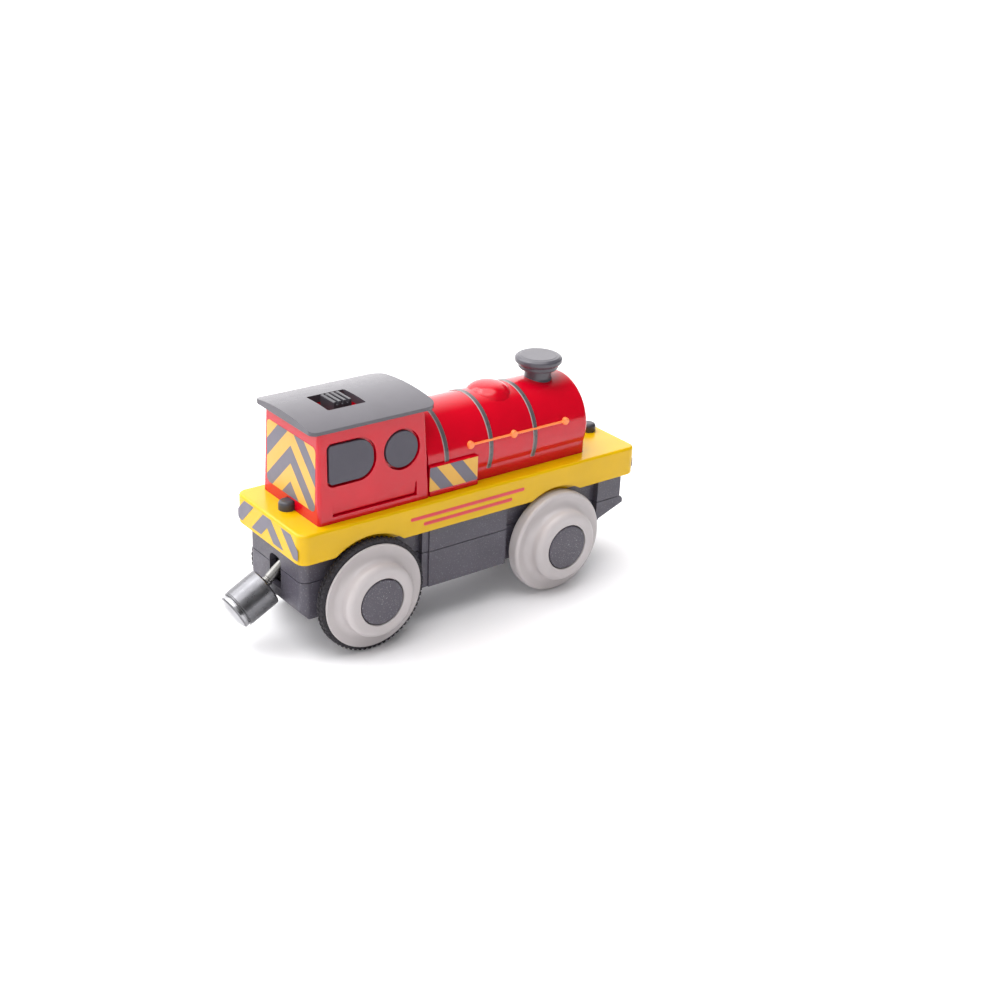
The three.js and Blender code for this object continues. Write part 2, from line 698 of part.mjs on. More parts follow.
function hubCap() {
  return turned(
    [
      [0, HUB_CAP.back],
      [HUB_CAP.radius, HUB_CAP.back],
      [HUB_CAP.radius, HUB_CAP.face - 0.35],
      [HUB_CAP.radius - 0.35, HUB_CAP.face],
      [0, HUB_CAP.face + 0.1],
    ],
    24,
  );
}

const TREAD = { radius: 11.4, blocks: 30, depth: 0.3 };

// Rubber tyre: a band with a row of shallow cross grooves.
function tyre() {
  const y0 = WHEEL_BACK_Y + 0.05;
  const y1 = WHEEL_FACE_Y - 0.6;
  const outline = new THREE.Shape();
  const points = [];
  for (let i = 0; i < TREAD.blocks; i++) {
    const low = TYRE_RADIUS - TREAD.depth;
    [[0, TYRE_RADIUS], [0.68, TYRE_RADIUS], [0.72, low], [0.96, low]].forEach(([share, r]) => {
      const angle = ((i + share) / TREAD.blocks) * Math.PI * 2;
      points.push(new THREE.Vector2(r * Math.cos(angle), r * Math.sin(angle)));
    });
  }
  outline.setFromPoints(points);
  const g = new THREE.ExtrudeGeometry(outline, { depth: y1 - y0, bevelEnabled: false });
  const band = solid(g.rotateX(Math.PI / 2).translate(0, y1, 0));
  return cut(band, rod("y", TREAD.radius + 0.03, y0 - 1, y1 + 1, 0, 0, WHEEL_SIDES));
}

// Spur gear along Y. The first tooth points along phase, in radians from +X towards +Z.
function spurGear(teeth, y0, y1, phase, bore) {
  const pitch = (GEAR_MODULE * teeth) / 2;
  const tip = pitch + 0.85 * GEAR_MODULE;
  const root = pitch - 1.15 * GEAR_MODULE;
  const points = [];
  for (let i = 0; i < teeth; i++) {
    [[-0.27, root], [-0.12, tip], [0.12, tip], [0.27, root]].forEach(([share, r]) => {
      const angle = phase + ((i + share) / teeth) * Math.PI * 2;
      points.push([r * Math.cos(angle), r * Math.sin(angle)]);
    });
  }
  return cut(sidePlate(points, y0, y1), rod("y", bore, y0 - 1, y1 + 1, 0, 0, 16));
}

const AXLE_TEETH = 12;
const IDLER_TEETH = 27;
const WORM_WHEEL_TEETH = 24;
const gearCentres = (GEAR_MODULE * (AXLE_TEETH + IDLER_TEETH)) / 2;
const idlerZ = TYRE_RADIUS + Math.sqrt(gearCentres ** 2 - IDLER_X ** 2);
const wormZ = idlerZ + (GEAR_MODULE * WORM_WHEEL_TEETH) / 2 + 1.6;
const meshAngle = Math.atan2(idlerZ - TYRE_RADIUS, IDLER_X);

// Worm on the motor shaft: a round bar whose single thread winds along X.
function worm() {
  const lead = Math.PI * GEAR_MODULE;
  const turns = 4;
  const perTurn = 6;
  const sides = 10;
  const x0 = IDLER_X - (lead * turns) / 2;
  const rings = [];
  for (let s = 0; s <= turns * perTurn; s++) {
    const x = x0 + (lead * s) / perTurn;
    const ring = [];
    for (let i = 0; i < sides; i++) {
      const angle = (i / sides) * Math.PI * 2;
      const crest = Math.max(0, Math.cos(angle - (s / perTurn) * Math.PI * 2));
      const r = 1 + (WORM_RADIUS - 1) * crest;
      ring.push(new THREE.Vector3(x, r * Math.cos(angle), r * Math.sin(angle)));
    }
    rings.push(ring);
  }
  const thread = solid(loft(rings)).translate([0, 0, wormZ]);
  const shaft = rod("x", 0.7, x0 - 1.2, MOTOR.x0 - GAP, 0, wormZ, 12);
  return join(thread, shaft);
}

function motor() {
  const can = rod("x", MOTOR.radius, MOTOR.x0 + 1, MOTOR.x1, 0, wormZ, 36);
  const flats = bothSides((side) => {
    const near = wormZ + side * MOTOR.flat;
    const far = wormZ + side * 6;
    return box(MOTOR.x0, MOTOR.x1, -6, 6, Math.min(near, far), Math.max(near, far));
  });
  const nose = rod("x", 2, MOTOR.x0, MOTOR.x0 + 1.5, 0, wormZ, 20);
  const tags = bothSides((side) => {
    const y = side * 3;
    return box(MOTOR.x1 - 0.5, MOTOR.x1 + 2, y - 0.8, y + 0.8, wormZ - 0.15, wormZ + 0.15);
  });
  return join(cut(can, ...flats), nose, ...tags);
}

// A clamp over the motor, with a foot on each side that stands on the chassis.
function motorMount() {
  const z0 = DECK.z0;
  const bridge = box(6, 13, -6.4, 6.4, z0, wormZ + 6.2);
  const feet = box(6, 13, -9, 9, z0, z0 + 1.3);
  const seat = rod("x", MOTOR.radius + 0.08, 4, 16, 0, wormZ, 36);
  const mouth = box(4, 16, -5.08, 5.08, z0 - 1, wormZ);
  return cut(join(bridge, feet), seat, mouth);
}

// ---- electrics ----
function battery() {
  const cell = turned(
    [
      [0, BATTERY.x0],
      [BATTERY.radius - 0.5, BATTERY.x0],
      [BATTERY.radius, BATTERY.x0 + 0.4],
      [BATTERY.radius, BATTERY.x1 - 0.5],
      [BATTERY.radius - 0.5, BATTERY.x1],
      [1.9, BATTERY.x1],
      [1.8, BATTERY.x1 + BATTERY.nub],
      [0, BATTERY.x1 + BATTERY.nub],
    ],
    20,
  );
  return solid(cell.rotateZ(-Math.PI / 2)).translate([0, 0, BATTERY.z]);
}

function contactSpring() {
  const coils = 3;
  const perCoil = 8;
  const x0 = 3.4;
  const reach = BATTERY.x0 - 0.5 - x0;
  class Coil extends THREE.Curve {
    getPoint(t) {
      const angle = t * coils * Math.PI * 2;
      const radius = 3.3 - 1.1 * t;
      return new THREE.Vector3(
        x0 + 0.1 + reach * t,
        radius * Math.cos(angle),
        BATTERY.z + radius * Math.sin(angle),
      );
    }
  }
  const wire = new THREE.Shape();
  wire.absarc(0, 0, 0.22, 0, Math.PI * 2, false);
  const g = new THREE.ExtrudeGeometry(wire, {
    steps: coils * perCoil,
    extrudePath: new Coil(),
    curveSegments: 3,
    bevelEnabled: false,
  });
  return solid(g);
}

const contactPlate = (x0, x1, z0, z1) => box(x0, x1, -4, 4, z0, z1);

function switchBody() {
  const shell = box(-5.2, 5.2, -3.6, 3.6, 44.6, CAB_CEILING.z0 - GAP);
  const track = box(-4.4, 4.4, -1.5, 1.5, 47.6, CAB_CEILING.z0 + 1);
  return cut(shell, track);
}

function switchKnob() {
  const stem = box(-1.2, 1.2, -1.2, 1.2, 48, CAB_CEILING.z1 + 1);
  const head = box(-2.3, 2.3, -2.75, 2.75, CAB_CEILING.z1 + GAP, 54.6);
  const ribs = [-1.95, -0.65, 0.65, 1.95].map((x) => box(x - 0.35, x + 0.35, -2.75, 2.75, 54.5, 55.3));
  return join(stem, head, ...ribs);
}

// ---- coupling ----
// Yoke, shaft and magnet hang in groups turned to their rest angles about Y.
function yoke() {
  const body = rod("z", YOKE_RADIUS, -2.2, 2.2, 0, 0, 20);
  const pin = rod("z", YOKE_PIN, 1.8, DECK.z0 - GAP - COUPLING_PIVOT.z, 0, 0, 12);
  const mouth = box(-3, 3, -SHAFT.radius - 0.12, SHAFT.radius + 0.12, -3, SHAFT.radius + 0.4);
  return cut(join(body, pin), mouth, rod("y", 0.56, -3, 3, 0, 0, 12));
}

function shaft() {
  const ballRadius = 1.7;
  const arm = rod("x", SHAFT.radius, -SHAFT.length, 0, 0, 0, 12);
  const eye = solid(new THREE.SphereGeometry(SHAFT.radius, 12, 8));
  const ball = solid(new THREE.SphereGeometry(ballRadius, 14, 10)).translate([-SHAFT.length, 0, 0]);
  const crossPin = rod("y", 0.5, -1.9, 1.9, 0, 0, 12);
  return join(arm, eye, ball, crossPin);
}

// The barrel's own x runs from its open back (+) to the magnet (-), with the ball at 0.
function barrel() {
  const shell = turned(
    [
      [BARREL.mouth, BARREL.behind],
      [BARREL.radius - 0.35, BARREL.behind],
      [BARREL.radius, BARREL.behind - 0.35],
      [BARREL.radius, -BARREL.ahead],
      [3.9, -BARREL.ahead],
      [3.9, -1.9],
      [2, -1.9],
      [2, 0.9],
      [BARREL.mouth, BARREL.behind],
    ].reverse(),
    26,
  );
  return solid(shell.rotateZ(-Math.PI / 2));
}

function magnet() {
  const back = -2.1;
  const rim = -BARREL.ahead - 1.2;
  const disc = turned(
    [
      [0, rim - 0.75],
      [1.6, rim - 0.65],
      [3, rim - 0.4],
      [3.9, rim],
      [4.2, rim + 0.2],
      [4.2, -BARREL.ahead - 0.08],
      [3.75, -BARREL.ahead - 0.08],
      [3.75, back],
      [0, back],
    ],
    26,
  );
  return solid(disc.rotateZ(-Math.PI / 2));
}

// ---- assembly ----
add("deck", deck(), "yellow");
add("cab_shell", cabShell(), "red");
add("roof", roof(), "grey");
add("boiler_shell", boilerShell(), "red");
add("chimney", chimney(), "grey");
studCentres().forEach(([name, x]) => {
  add(name, stud(), "grey").position.x = x;
});
add("chassis_upper", chassisUpper(), "chassis");
add("chassis_lower", chassisLower(), "chassis");
add("battery_cover", batteryCover(), "chassis");
SCREWS.forEach(({ x, y }, i) => {
  const body = screw(CHASSIS.z0 + 0.3, SCREW.top, SCREW.headHeight);
  add(`chassis_screw_${i + 1}`, body, "steel").position.set(x, y, 0);
});
const coverScrew = add("cover_screw", screw(CHASSIS.z0 + 0.05, 17, 0.6), "steel");
coverScrew.position.set(COVER_SCREW.x, COVER_SCREW.y, 0);

add("battery", battery(), "steel");
add("contact_positive", contactPlate(50.62, 50.92, 12.4, 20.6), "brass");
add("contact_negative", contactPlate(2.95, 3.25, 12, 19.2), "brass");
add("contact_spring", contactSpring(), "steel");
add("motor", motor(), "steel");
add("motor_mount", motorMount(), "gear");
add("motor_worm", worm(), "brass");
add("switch_body", switchBody(), "gear");
add("switch_board", box(-8.5, 8.5, -6.5, 6.5, 43.5, 44.5), "board");
add("switch_knob", switchKnob(), "chassis");

const idler = new THREE.Group();
idler.position.set(IDLER_X, 0, idlerZ);
model.add(idler);
const gapPhase = Math.PI / IDLER_TEETH;
add("idler_shaft", rod("y", IDLER_SHAFT, -10.8, 10.8, 0, 0, 16), "steel", idler);
add(
  "idler_gear",
  spurGear(IDLER_TEETH, GEAR_FACE.y0, GEAR_FACE.y1, meshAngle + Math.PI + gapPhase, IDLER_SHAFT + 0.05),
  "gear",
  idler,
);
add("worm_wheel", spurGear(WORM_WHEEL_TEETH, -1.5, 1.5, 0, IDLER_SHAFT + 0.05), "gear", idler);

AXLES.forEach(({ end, x, z }) => {
  const wheelset = new THREE.Group();
  wheelset.position.set(x, 0, z);
  model.add(wheelset);
  const rear = end === "rear";
  const reach = HUB_CAP.back - GAP;
  add(`${end}_axle`, rod("y", AXLE_RADIUS, -reach, reach, 0, 0, 24), "steel", wheelset);
  if (rear) {
    const gear = spurGear(AXLE_TEETH, GEAR_FACE.y0, GEAR_FACE.y1, meshAngle, AXLE_RADIUS + 0.05);
    add("axle_gear", gear, "gear", wheelset);
  }
  [["right", -1], ["left", 1]].forEach(([hand, side]) => {
    const turn = side > 0 ? 0 : Math.PI;
    const profile = rear
      ? wheelProfile(REAR_WHEEL_RADIUS, TREAD.radius, true)
      : wheelProfile(FRONT_WHEEL_RADIUS, TREAD.radius, false);
    const pieces = [
      ["wheel", solid(turned(profile, WHEEL_SIDES)), "wheel"],
      ["hub_cap", solid(hubCap()), "grey"],
    ];
    if (rear) pieces.push(["tyre", tyre(), "rubber"]);
    pieces.forEach(([name, body, finish]) => {
      add(`${end}_${hand}_${name}`, body, finish, wheelset).rotation.x = turn;
    });
    const bush = solid(
      turned(
        [
          [BUSH.inner, NARROW - CHASSIS.wall - 0.4],
          [BUSH.outer, NARROW - CHASSIS.wall - 0.4],
          [BUSH.outer, NARROW + 0.02],
          [BUSH.flange, NARROW + 0.02],
          [BUSH.flange, NARROW + 0.7],
          [BUSH.inner, NARROW + 0.7],
          [BUSH.inner, NARROW - CHASSIS.wall - 0.4],
        ],
        14,
      ),
    );
    const held = add(`${end}_${hand}_bush`, bush, "gear");
    held.position.set(x, 0, z);
    held.rotation.x = turn;
  });
});

const couplingYoke = new THREE.Group();
couplingYoke.position.set(COUPLING_PIVOT.x, 0, COUPLING_PIVOT.z);
model.add(couplingYoke);
add("coupling_yoke", yoke(), "steel", couplingYoke);
const arm = new THREE.Group();
arm.rotation.y = -THREE.MathUtils.degToRad(SHAFT.droop);
couplingYoke.add(arm);
add("coupling_shaft", shaft(), "steel", arm);
const holder = new THREE.Group();
holder.position.x = -SHAFT.length;
holder.rotation.y = THREE.MathUtils.degToRad(SHAFT.droop - BARREL.droop);
arm.add(holder);
add("magnet_barrel", barrel(), "chassis", holder);
add("magnet", magnet(), "steel", holder);

export default object;
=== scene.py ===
"""Looks of the battery toy locomotive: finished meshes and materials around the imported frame.

Lengths are in millimetres until a mesh is finished. +X is forwards, +Y left and +Z up, as in the frame.
Places along X in the tables are counted from the rear axle.
"""

import math

import bmesh
import bpy
from mathutils import Matrix, Vector


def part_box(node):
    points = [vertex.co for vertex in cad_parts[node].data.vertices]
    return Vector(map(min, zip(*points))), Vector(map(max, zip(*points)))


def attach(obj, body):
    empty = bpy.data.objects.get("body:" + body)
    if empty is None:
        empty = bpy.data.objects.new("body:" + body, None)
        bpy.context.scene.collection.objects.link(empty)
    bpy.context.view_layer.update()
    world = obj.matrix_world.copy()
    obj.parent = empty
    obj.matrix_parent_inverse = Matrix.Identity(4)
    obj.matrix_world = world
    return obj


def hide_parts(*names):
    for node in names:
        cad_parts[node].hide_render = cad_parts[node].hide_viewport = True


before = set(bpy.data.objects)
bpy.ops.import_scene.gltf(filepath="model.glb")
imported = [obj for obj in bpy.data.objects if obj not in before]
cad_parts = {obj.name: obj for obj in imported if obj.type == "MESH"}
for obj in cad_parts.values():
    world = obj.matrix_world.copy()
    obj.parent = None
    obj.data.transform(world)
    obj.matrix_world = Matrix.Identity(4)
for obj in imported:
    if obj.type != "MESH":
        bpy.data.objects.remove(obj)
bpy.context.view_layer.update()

MM = 0.001
ROOT = "locomotive"
SIDES = {"right": -1, "left": 1}


def span(node):
    """Lowest and highest corner of a frame node, in millimetres."""
    low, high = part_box(node)
    return low / MM, high / MM


def middle(node):
    low, high = span(node)
    return (low + high) / 2


# ---- driving dimensions ----
REAR_AXLE = middle("rear_axle")
FRONT_AXLE = middle("front_axle")
DECK_LOW, DECK_HIGH = span("deck")
CAB_LOW, CAB_HIGH = span("cab_shell")
ROOF_LOW, ROOF_HIGH = span("roof")
TYRE_LOW, TYRE_HIGH = span("rear_left_tyre")
WHEEL_LOW, WHEEL_HIGH = span("front_left_wheel")
UPPER_LOW, UPPER_HIGH = span("chassis_upper")
LOWER_LOW, LOWER_HIGH = span("chassis_lower")


def along(x):
    """A place along X counted from the rear axle."""
    return REAR_AXLE.x + x


CUT_TOP = 60.0

DECK_CORNER = 2.4
DECK_EDGE = 0.7
DECK_FOOT = 0.25
DECK_WALL = 2.0
DECK_BAYS = {"rear_x1": -14.9, "front_x0": 14.9, "front_x1": 37.0}
DECK_OPENING = {"x0": -8.6, "x1": 16.8, "half": 9.6}
ARCH_DEPTH = 12.3
REAR_ARCH_GAP = 0.85
FRONT_ARCH_GAP = 1.25
TYRE_RADIUS = (TYRE_HIGH.z - TYRE_LOW.z) / 2
FRONT_RADIUS = (WHEEL_HIGH.z - WHEEL_LOW.z) / 2
REAR_FLANGE_RADIUS = 12.4

CHEVRON_BAND = 4.2
DECK_PRINT = {"half": 13.0, "foot": 1.1, "head": 0.85, "corner": 0.6, "first_z": 28.2}
# Height, start and end of each line on the deck's sides.
SIDE_LINES = ((28.5, 10.5, 42.5), (26.7, 14.0, 39.0))
SIDE_LINE_HALF = 0.42

CAB = {"half": 11.95, "top_half": 11.1, "x0": -11.7, "x1": 17.2, "top_x0": -11.3, "top_x1": 16.1}
CAB_TOP_Z = 53.0
CAB_CORNER = 0.9
CAB_WALL = 1.6
CAB_PANEL = {"x0": -8.2, "x1": 13.6, "z0": 33.1, "z1": 36.9, "depth": 0.6}
CAB_PRINT = {"half": 10.2, "z0": 34.3, "z1": 49.2, "corner": 1.3, "first_z": 37.9}
CEILING_Z0 = 49.9
CEILING_Z1 = 51.4
STUD_NOTCH = {"radius": 1.96, "z1": 33.75}
D_WINDOW = {"x0": -8.8, "x1": 2.5, "z0": 40.5, "z1": 49.4, "back_corner": 0.9, "front_corner": 4.0}
ROUND_WINDOW = {"x": 9.75, "z": 44.8, "radius": 4.2}
WINDOW_GROOVE = 0.55
WINDOW_RECESS = 0.95
WINDOW_RECESS_Z = 45.0
ROOF_DROP = 1.15
ROOF_REAR_CORNER = 1.6
ROOF_FRONT_CORNER = 3.0
ROOF_HOLE = {"x0": -4.8, "x1": 4.8, "half": 4.55}
ROOF_EDGE = 0.3
KNOB_SLOT = {"half_x": 4.1, "half_y": 1.6}
KNOB_GROOVES = {"count": 3, "first_x": -1.35, "pitch": 1.3, "z": 54.45}
KNOB_FOOT_Z = 51.5
KNOB_STEM = {"half": 1.2, "z1": 52.0}

BOILER = {"x0": 17.25, "x1": 64.0, "radius": 10.9, "half": 10.2, "axis_z": 38.5, "edge": 1.3}
BANDS = (22.3, 34.8, 47.7)
BAND = {"half": 0.625, "proud": 0.2, "edge": 0.15, "root": -0.4, "foot_z": 34.2}
DOME_X = 41.6
DOME_FOOT_Z = 46.0
DOME_TOP = 50.75
HANDRAIL_Z = 41.3
HANDRAIL_HALF = 0.23
HANDRAIL_PROUD = 0.42
HANDRAIL_KNOBS = (29.0, 41.4, 56.8)
STRIPE_BOX = {"x1": 30.6, "half": 11.9, "z1": 38.9}
STRIPE_PRINT = {"x0": 17.0, "x1": 30.25, "z0": 33.0, "z1": 38.7}
STRIPES = {"count": 4, "first_x": 18.8, "first_z": 38.8, "pitch": 3.55, "lean": 0.82}
DOOR = {"radius": 7.4, "z": 40.4, "proud": 0.7}
CHIMNEY_X = 56.35
STUD = {"radius": 1.9, "stem": 1.2, "edge": 0.85}

NARROW = 11.6
WIDE = 13.3
SEAM_GAP = 0.09
CHASSIS_WALL = 1.5
CHASSIS_EDGE = 0.16
CHASSIS_STEPS = {"shoulder": 14.6, "waist": 16.4, "waist_end": 38.4, "nose": 66.4}
CHASSIS_SCREWS = [f"chassis_screw_{i}" for i in range(1, 5)]
SCREW_HOLE_RADIUS = 2.05
AXLE_HOLE_RADIUS = 2.15
COUPLING_SLOT = {"half": 2.4, "z0": 13.6, "z1": 21.15, "corner": 1.6}
YOKE_HOLE = {"radius": 2.1, "z0": 16.9, "z1": 21.8}
HATCH = {"half": 6.2, "tab_x0": 23.0, "tab_x1": 32.0, "grip_x": 36.0, "grip_pitch": 2.0}

AXLE_RADIUS = 1.25
WHEEL_BACK = 13.3
WHEEL_FACE = 16.0
HUB_FACE = 19.35
TREAD_SEAT = 11.4
HUB_RADIUS = 8.8
HUB_CAP_RADIUS = 5.4
HUB_CAP_GAP = 0.22
LUGS = 64
LUG_DEPTH = 0.26

PIVOT_Z = 19.4
PIVOT = Vector((middle("coupling_yoke").x, 0, PIVOT_Z))
ARM_LENGTH = 10.3
ARM_DROOP = math.radians(40.7)
HEAD_DROOP = math.radians(28)
MAGNET_EDGE_X = -6.2


# ---- mesh tools ----
def rounded(corners, steps=5, closed=True):
    """Corners are (u, v, radius); each becomes an arc, and one with no radius stays sharp."""
    points = []
    for i, corner in enumerate(corners):
        here = Vector(corner[:2])
        radius = corner[2] if len(corner) > 2 else 0
        is_end = not closed and i in (0, len(corners) - 1)
        if not radius or is_end:
            points.append(tuple(here))
            continue
        back = Vector(corners[i - 1][:2]) - here
        ahead = Vector(corners[(i + 1) % len(corners)][:2]) - here
        half = back.angle(ahead) / 2
        reach = min(radius / math.tan(half), back.length / 2, ahead.length / 2)
        fitted = reach * math.tan(half)
        back.normalize()
        ahead.normalize()
        centre = here + (back + ahead).normalized() * fitted / math.sin(half)
        start = here + back * reach - centre
        end = here + ahead * reach - centre
        first = math.atan2(start.y, start.x)
        sweep = (math.atan2(end.y, end.x) - first + math.pi) % math.tau - math.pi
        for k in range(steps + 1):
            angle = first + sweep * k / steps
            points.append((centre.x + fitted * math.cos(angle), centre.y + fitted * math.sin(angle)))
    return points


def rectangle(x0, x1, y0, y1, corner=0.0, steps=6):
    return rounded([(x1, y1, corner), (x0, y1, corner), (x0, y0, corner), (x1, y0, corner)], steps)


def loft(rings, closed=False):
    """A solid through rings of equally many points: capped at both ends, or joined end to end."""
    bm = bmesh.new()
    made = [[bm.verts.new(point) for point in ring] for ring in rings]
    count = len(made[0])
    pairs = list(zip(made, made[1:]))
    if closed:
        pairs.append((made[-1], made[0]))
    for a, b in pairs:
        for i in range(count):
            j = (i + 1) % count
            bm.faces.new((a[i], a[j], b[j], b[i]))
    if not closed:
        bm.faces.new(made[0])
        bm.faces.new(made[-1])
    bmesh.ops.recalc_face_normals(bm, faces=bm.faces)
    return bm


def prism(outline, axis, low, high):
    """An outline pushed along an axis. It is (x, y) along z, (x, z) along y and (y, z) along x."""
    place = {
        "x": lambda u, v, w: (w, u, v),
        "y": lambda u, v, w: (u, w, v),
        "z": lambda u, v, w: (u, v, w),
    }[axis]
    return loft([[place(u, v, w) for u, v in outline] for w in (low, high)])


def box(x0, x1, y0, y1, z0, z1):
    return prism([(x0, y0), (x1, y0), (x1, y1), (x0, y1)], "z", z0, z1)


def circle(u, v, radius, steps=64):
    turns = [math.tau * i / steps for i in range(steps)]
    return [(u + radius * math.cos(a), v + radius * math.sin(a)) for a in turns]


def lathe(profile, axis="z", centre=(0, 0, 0), side=1, segments=96):
    """A turned solid. Its profile's (radius, height) pairs start and end on the axis, or go round a ring."""
    place = {
        "x": lambda a, b, h: (h, a, b),
        "y": lambda a, b, h: (a, h, b),
        "z": lambda a, b, h: (a, b, h),
    }[axis]
    bm = bmesh.new()
    rings = []
    for radius, height in profile:
        turns = range(segments) if radius > 1e-6 else (0,)
        rings.append([
            bm.verts.new(Vector(centre) + Vector(place(
                radius * math.cos(math.tau * i / segments),
                radius * math.sin(math.tau * i / segments),
                side * height,
            )))
            for i in turns
        ])
    pairs = list(zip(rings, rings[1:]))
    if profile[0][0] > 1e-6:
        pairs.append((rings[-1], rings[0]))
    for a, b in pairs:
        for i in range(segments):
            j = (i + 1) % segments
            corners = [a[i % len(a)], a[j % len(a)], b[j % len(b)], b[i % len(b)]]
            corners = list(dict.fromkeys(corners))
            if len(corners) > 2:
                bm.faces.new(corners)
    bmesh.ops.recalc_face_normals(bm, faces=bm.faces)
    return bm


def spline(points, steps):
    """Catmull-Rom curve through (r, z) points."""
    out = []
    for i in range(len(points) - 1):
        p0 = Vector(points[max(i - 1, 0)])
        p1 = Vector(points[i])
        p2 = Vector(points[i + 1])
        p3 = Vector(points[min(i + 2, len(points) - 1)])
        for k in range(steps):
            t = k / steps
            value = 0.5 * (
                2 * p1 + (p2 - p0) * t + (2 * p0 - 5 * p1 + 4 * p2 - p3) * t**2
                + (3 * p1 - p0 - 3 * p2 + p3) * t**3
            )
            out.append((max(value.x, 0.0), value.y))
    out.append(tuple(points[-1]))
    return out


def working(bm):
    """A bmesh as a linked object, still in millimetres."""
    mesh = bpy.data.meshes.new("work")
    bm.to_mesh(mesh)
    bm.free()
    thing = bpy.data.objects.new("work", mesh)
    bpy.context.scene.collection.objects.link(thing)
    return thing


def modified(thing, kind, **settings):
    """Adds one modifier and applies it."""
    modifier = thing.modifiers.new(kind, kind)
    for key, value in settings.items():
        setattr(modifier, key, value)
    graph = bpy.context.evaluated_depsgraph_get()
    mesh = bpy.data.meshes.new_from_object(thing.evaluated_get(graph))
    thing.modifiers.clear()
    old = thing.data
    thing.data = mesh
    bpy.data.meshes.remove(old)
    return thing


def combined(thing, bm, operation):
    other = working(bm)
    modified(thing, "BOOLEAN", object=other, operation=operation, solver="EXACT")
    bpy.data.objects.remove(other)


def cut(thing, *cutters):
    for bm in cutters:
        combined(thing, bm, "DIFFERENCE")


def bevelled(thing, width, segments=3, degrees=35):
    """Merges flat faces, then rounds every edge sharper than the angle."""
    bm = bmesh.new()
    bm.from_mesh(thing.data)
    bmesh.ops.remove_doubles(bm, verts=bm.verts, dist=1e-3)
    bmesh.ops.dissolve_limit(bm, angle_limit=math.radians(0.5), verts=bm.verts, edges=bm.edges)
    bm.to_mesh(thing.data)
    bm.free()
    return modified(
        thing, "BEVEL", width=width, segments=segments, limit_method="ANGLE",
        angle_limit=math.radians(degrees), use_clamp_overlap=True, miter_outer="MITER_ARC",
    )


def piece(name, shape, material, body=ROOT, replaces=(), smooth=35):
    """Finishes a shape: metres, shading, material, body, and hides the frame nodes it stands for."""
    thing = working(shape) if isinstance(shape, bmesh.types.BMesh) else shape
    thing.name = name
    thing.data.name = name
    thing.data.transform(Matrix.Scale(MM, 4))
    thing.data.shade_smooth()
    thing.data.set_sharp_from_angle(angle=math.radians(smooth))
    materials = material if isinstance(material, (list, tuple)) else [material]
    for each in materials:
        thing.data.materials.append(each)
    weighted = thing.modifiers.new("normals", "WEIGHTED_NORMAL")
    weighted.keep_sharp = True
    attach(thing, body)
    if replaces:
        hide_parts(*replaces)


# ---- materials ----
def nodes_of(material):
    material.use_nodes = True
    tree = material.node_tree
    return tree, tree.nodes["Principled BSDF"]


def noise(tree, scale, detail):
    """Noise over the piece's own coordinates, with its scale in features per millimetre."""
    coordinates = tree.nodes.new("ShaderNodeTexCoord")
    mapping = tree.nodes.new("ShaderNodeMapping")
    mapping.inputs["Scale"].default_value = [1 / MM] * 3
    texture = tree.nodes.new("ShaderNodeTexNoise")
    texture.inputs["Scale"].default_value = scale
    texture.inputs["Detail"].default_value = detail
    tree.links.new(coordinates.outputs["Object"], mapping.inputs["Vector"])
    tree.links.new(mapping.outputs["Vector"], texture.inputs["Vector"])
    return texture.outputs["Fac"]


def spread(tree, source, low, high, start=0.35, end=0.65):
    """Stretches a noise's middle range to run from low to high."""
    remap = tree.nodes.new("ShaderNodeMapRange")
    remap.inputs["From Min"].default_value = start
    remap.inputs["From Max"].default_value = end
    remap.inputs["To Min"].default_value = low
    remap.inputs["To Max"].default_value = high
    tree.links.new(source, remap.inputs["Value"])
    return remap.outputs["Result"]


def mixed(tree, factor, first, second):
    mix = tree.nodes.new("ShaderNodeMix")
    mix.data_type = "RGBA"
    tree.links.new(factor, mix.inputs["Factor"])
    for socket, value in (("A", first), ("B", second)):
        target = [s for s in mix.inputs if s.name == socket and s.type == "RGBA"][0]
        if isinstance(value, bpy.types.NodeSocket):
            tree.links.new(value, target)
        else:
            target.default_value = (*value, 1)
    return [s for s in mix.outputs if s.type == "RGBA"][0]


def bumped(tree, shader, height, distance):
    bump = tree.nodes.new("ShaderNodeBump")
    bump.inputs["Strength"].default_value = 1.0
    bump.inputs["Distance"].default_value = distance * MM
    tree.links.new(height, bump.inputs["Height"])
    tree.links.new(bump.outputs["Normal"], shader.inputs["Normal"])


def plastic(
    name, colour, roughness, variation=0.05, grain=0.0, grain_scale=4.0, coat=0.0, fleck=None, shine=0.5
):
    """Moulded plastic: slow colour drift, uneven polish, a fine moulded grain and optional light flecks."""
    material = bpy.data.materials.new(name)
    tree, shader = nodes_of(material)
    darker = [c * (1 - variation) for c in colour]
    lighter = [min(1.0, c * (1 + variation)) for c in colour]
    base = mixed(tree, spread(tree, noise(tree, 0.12, 3), 0, 1), darker, lighter)
    if fleck:
        spots = spread(tree, noise(tree, 3.4, 1), 0, 1, 0.62, 0.72)
        base = mixed(tree, spots, base, fleck)
    tree.links.new(base, shader.inputs["Base Color"])
    polish = spread(tree, noise(tree, 0.5, 4), roughness * 0.88, roughness * 1.12)
    tree.links.new(polish, shader.inputs["Roughness"])
    shader.inputs["Specular IOR Level"].default_value = shine
    shader.inputs["Coat Weight"].default_value = coat
    shader.inputs["Coat Roughness"].default_value = 0.06
    if grain:
        bumped(tree, shader, noise(tree, grain_scale, 3), grain)
    return material


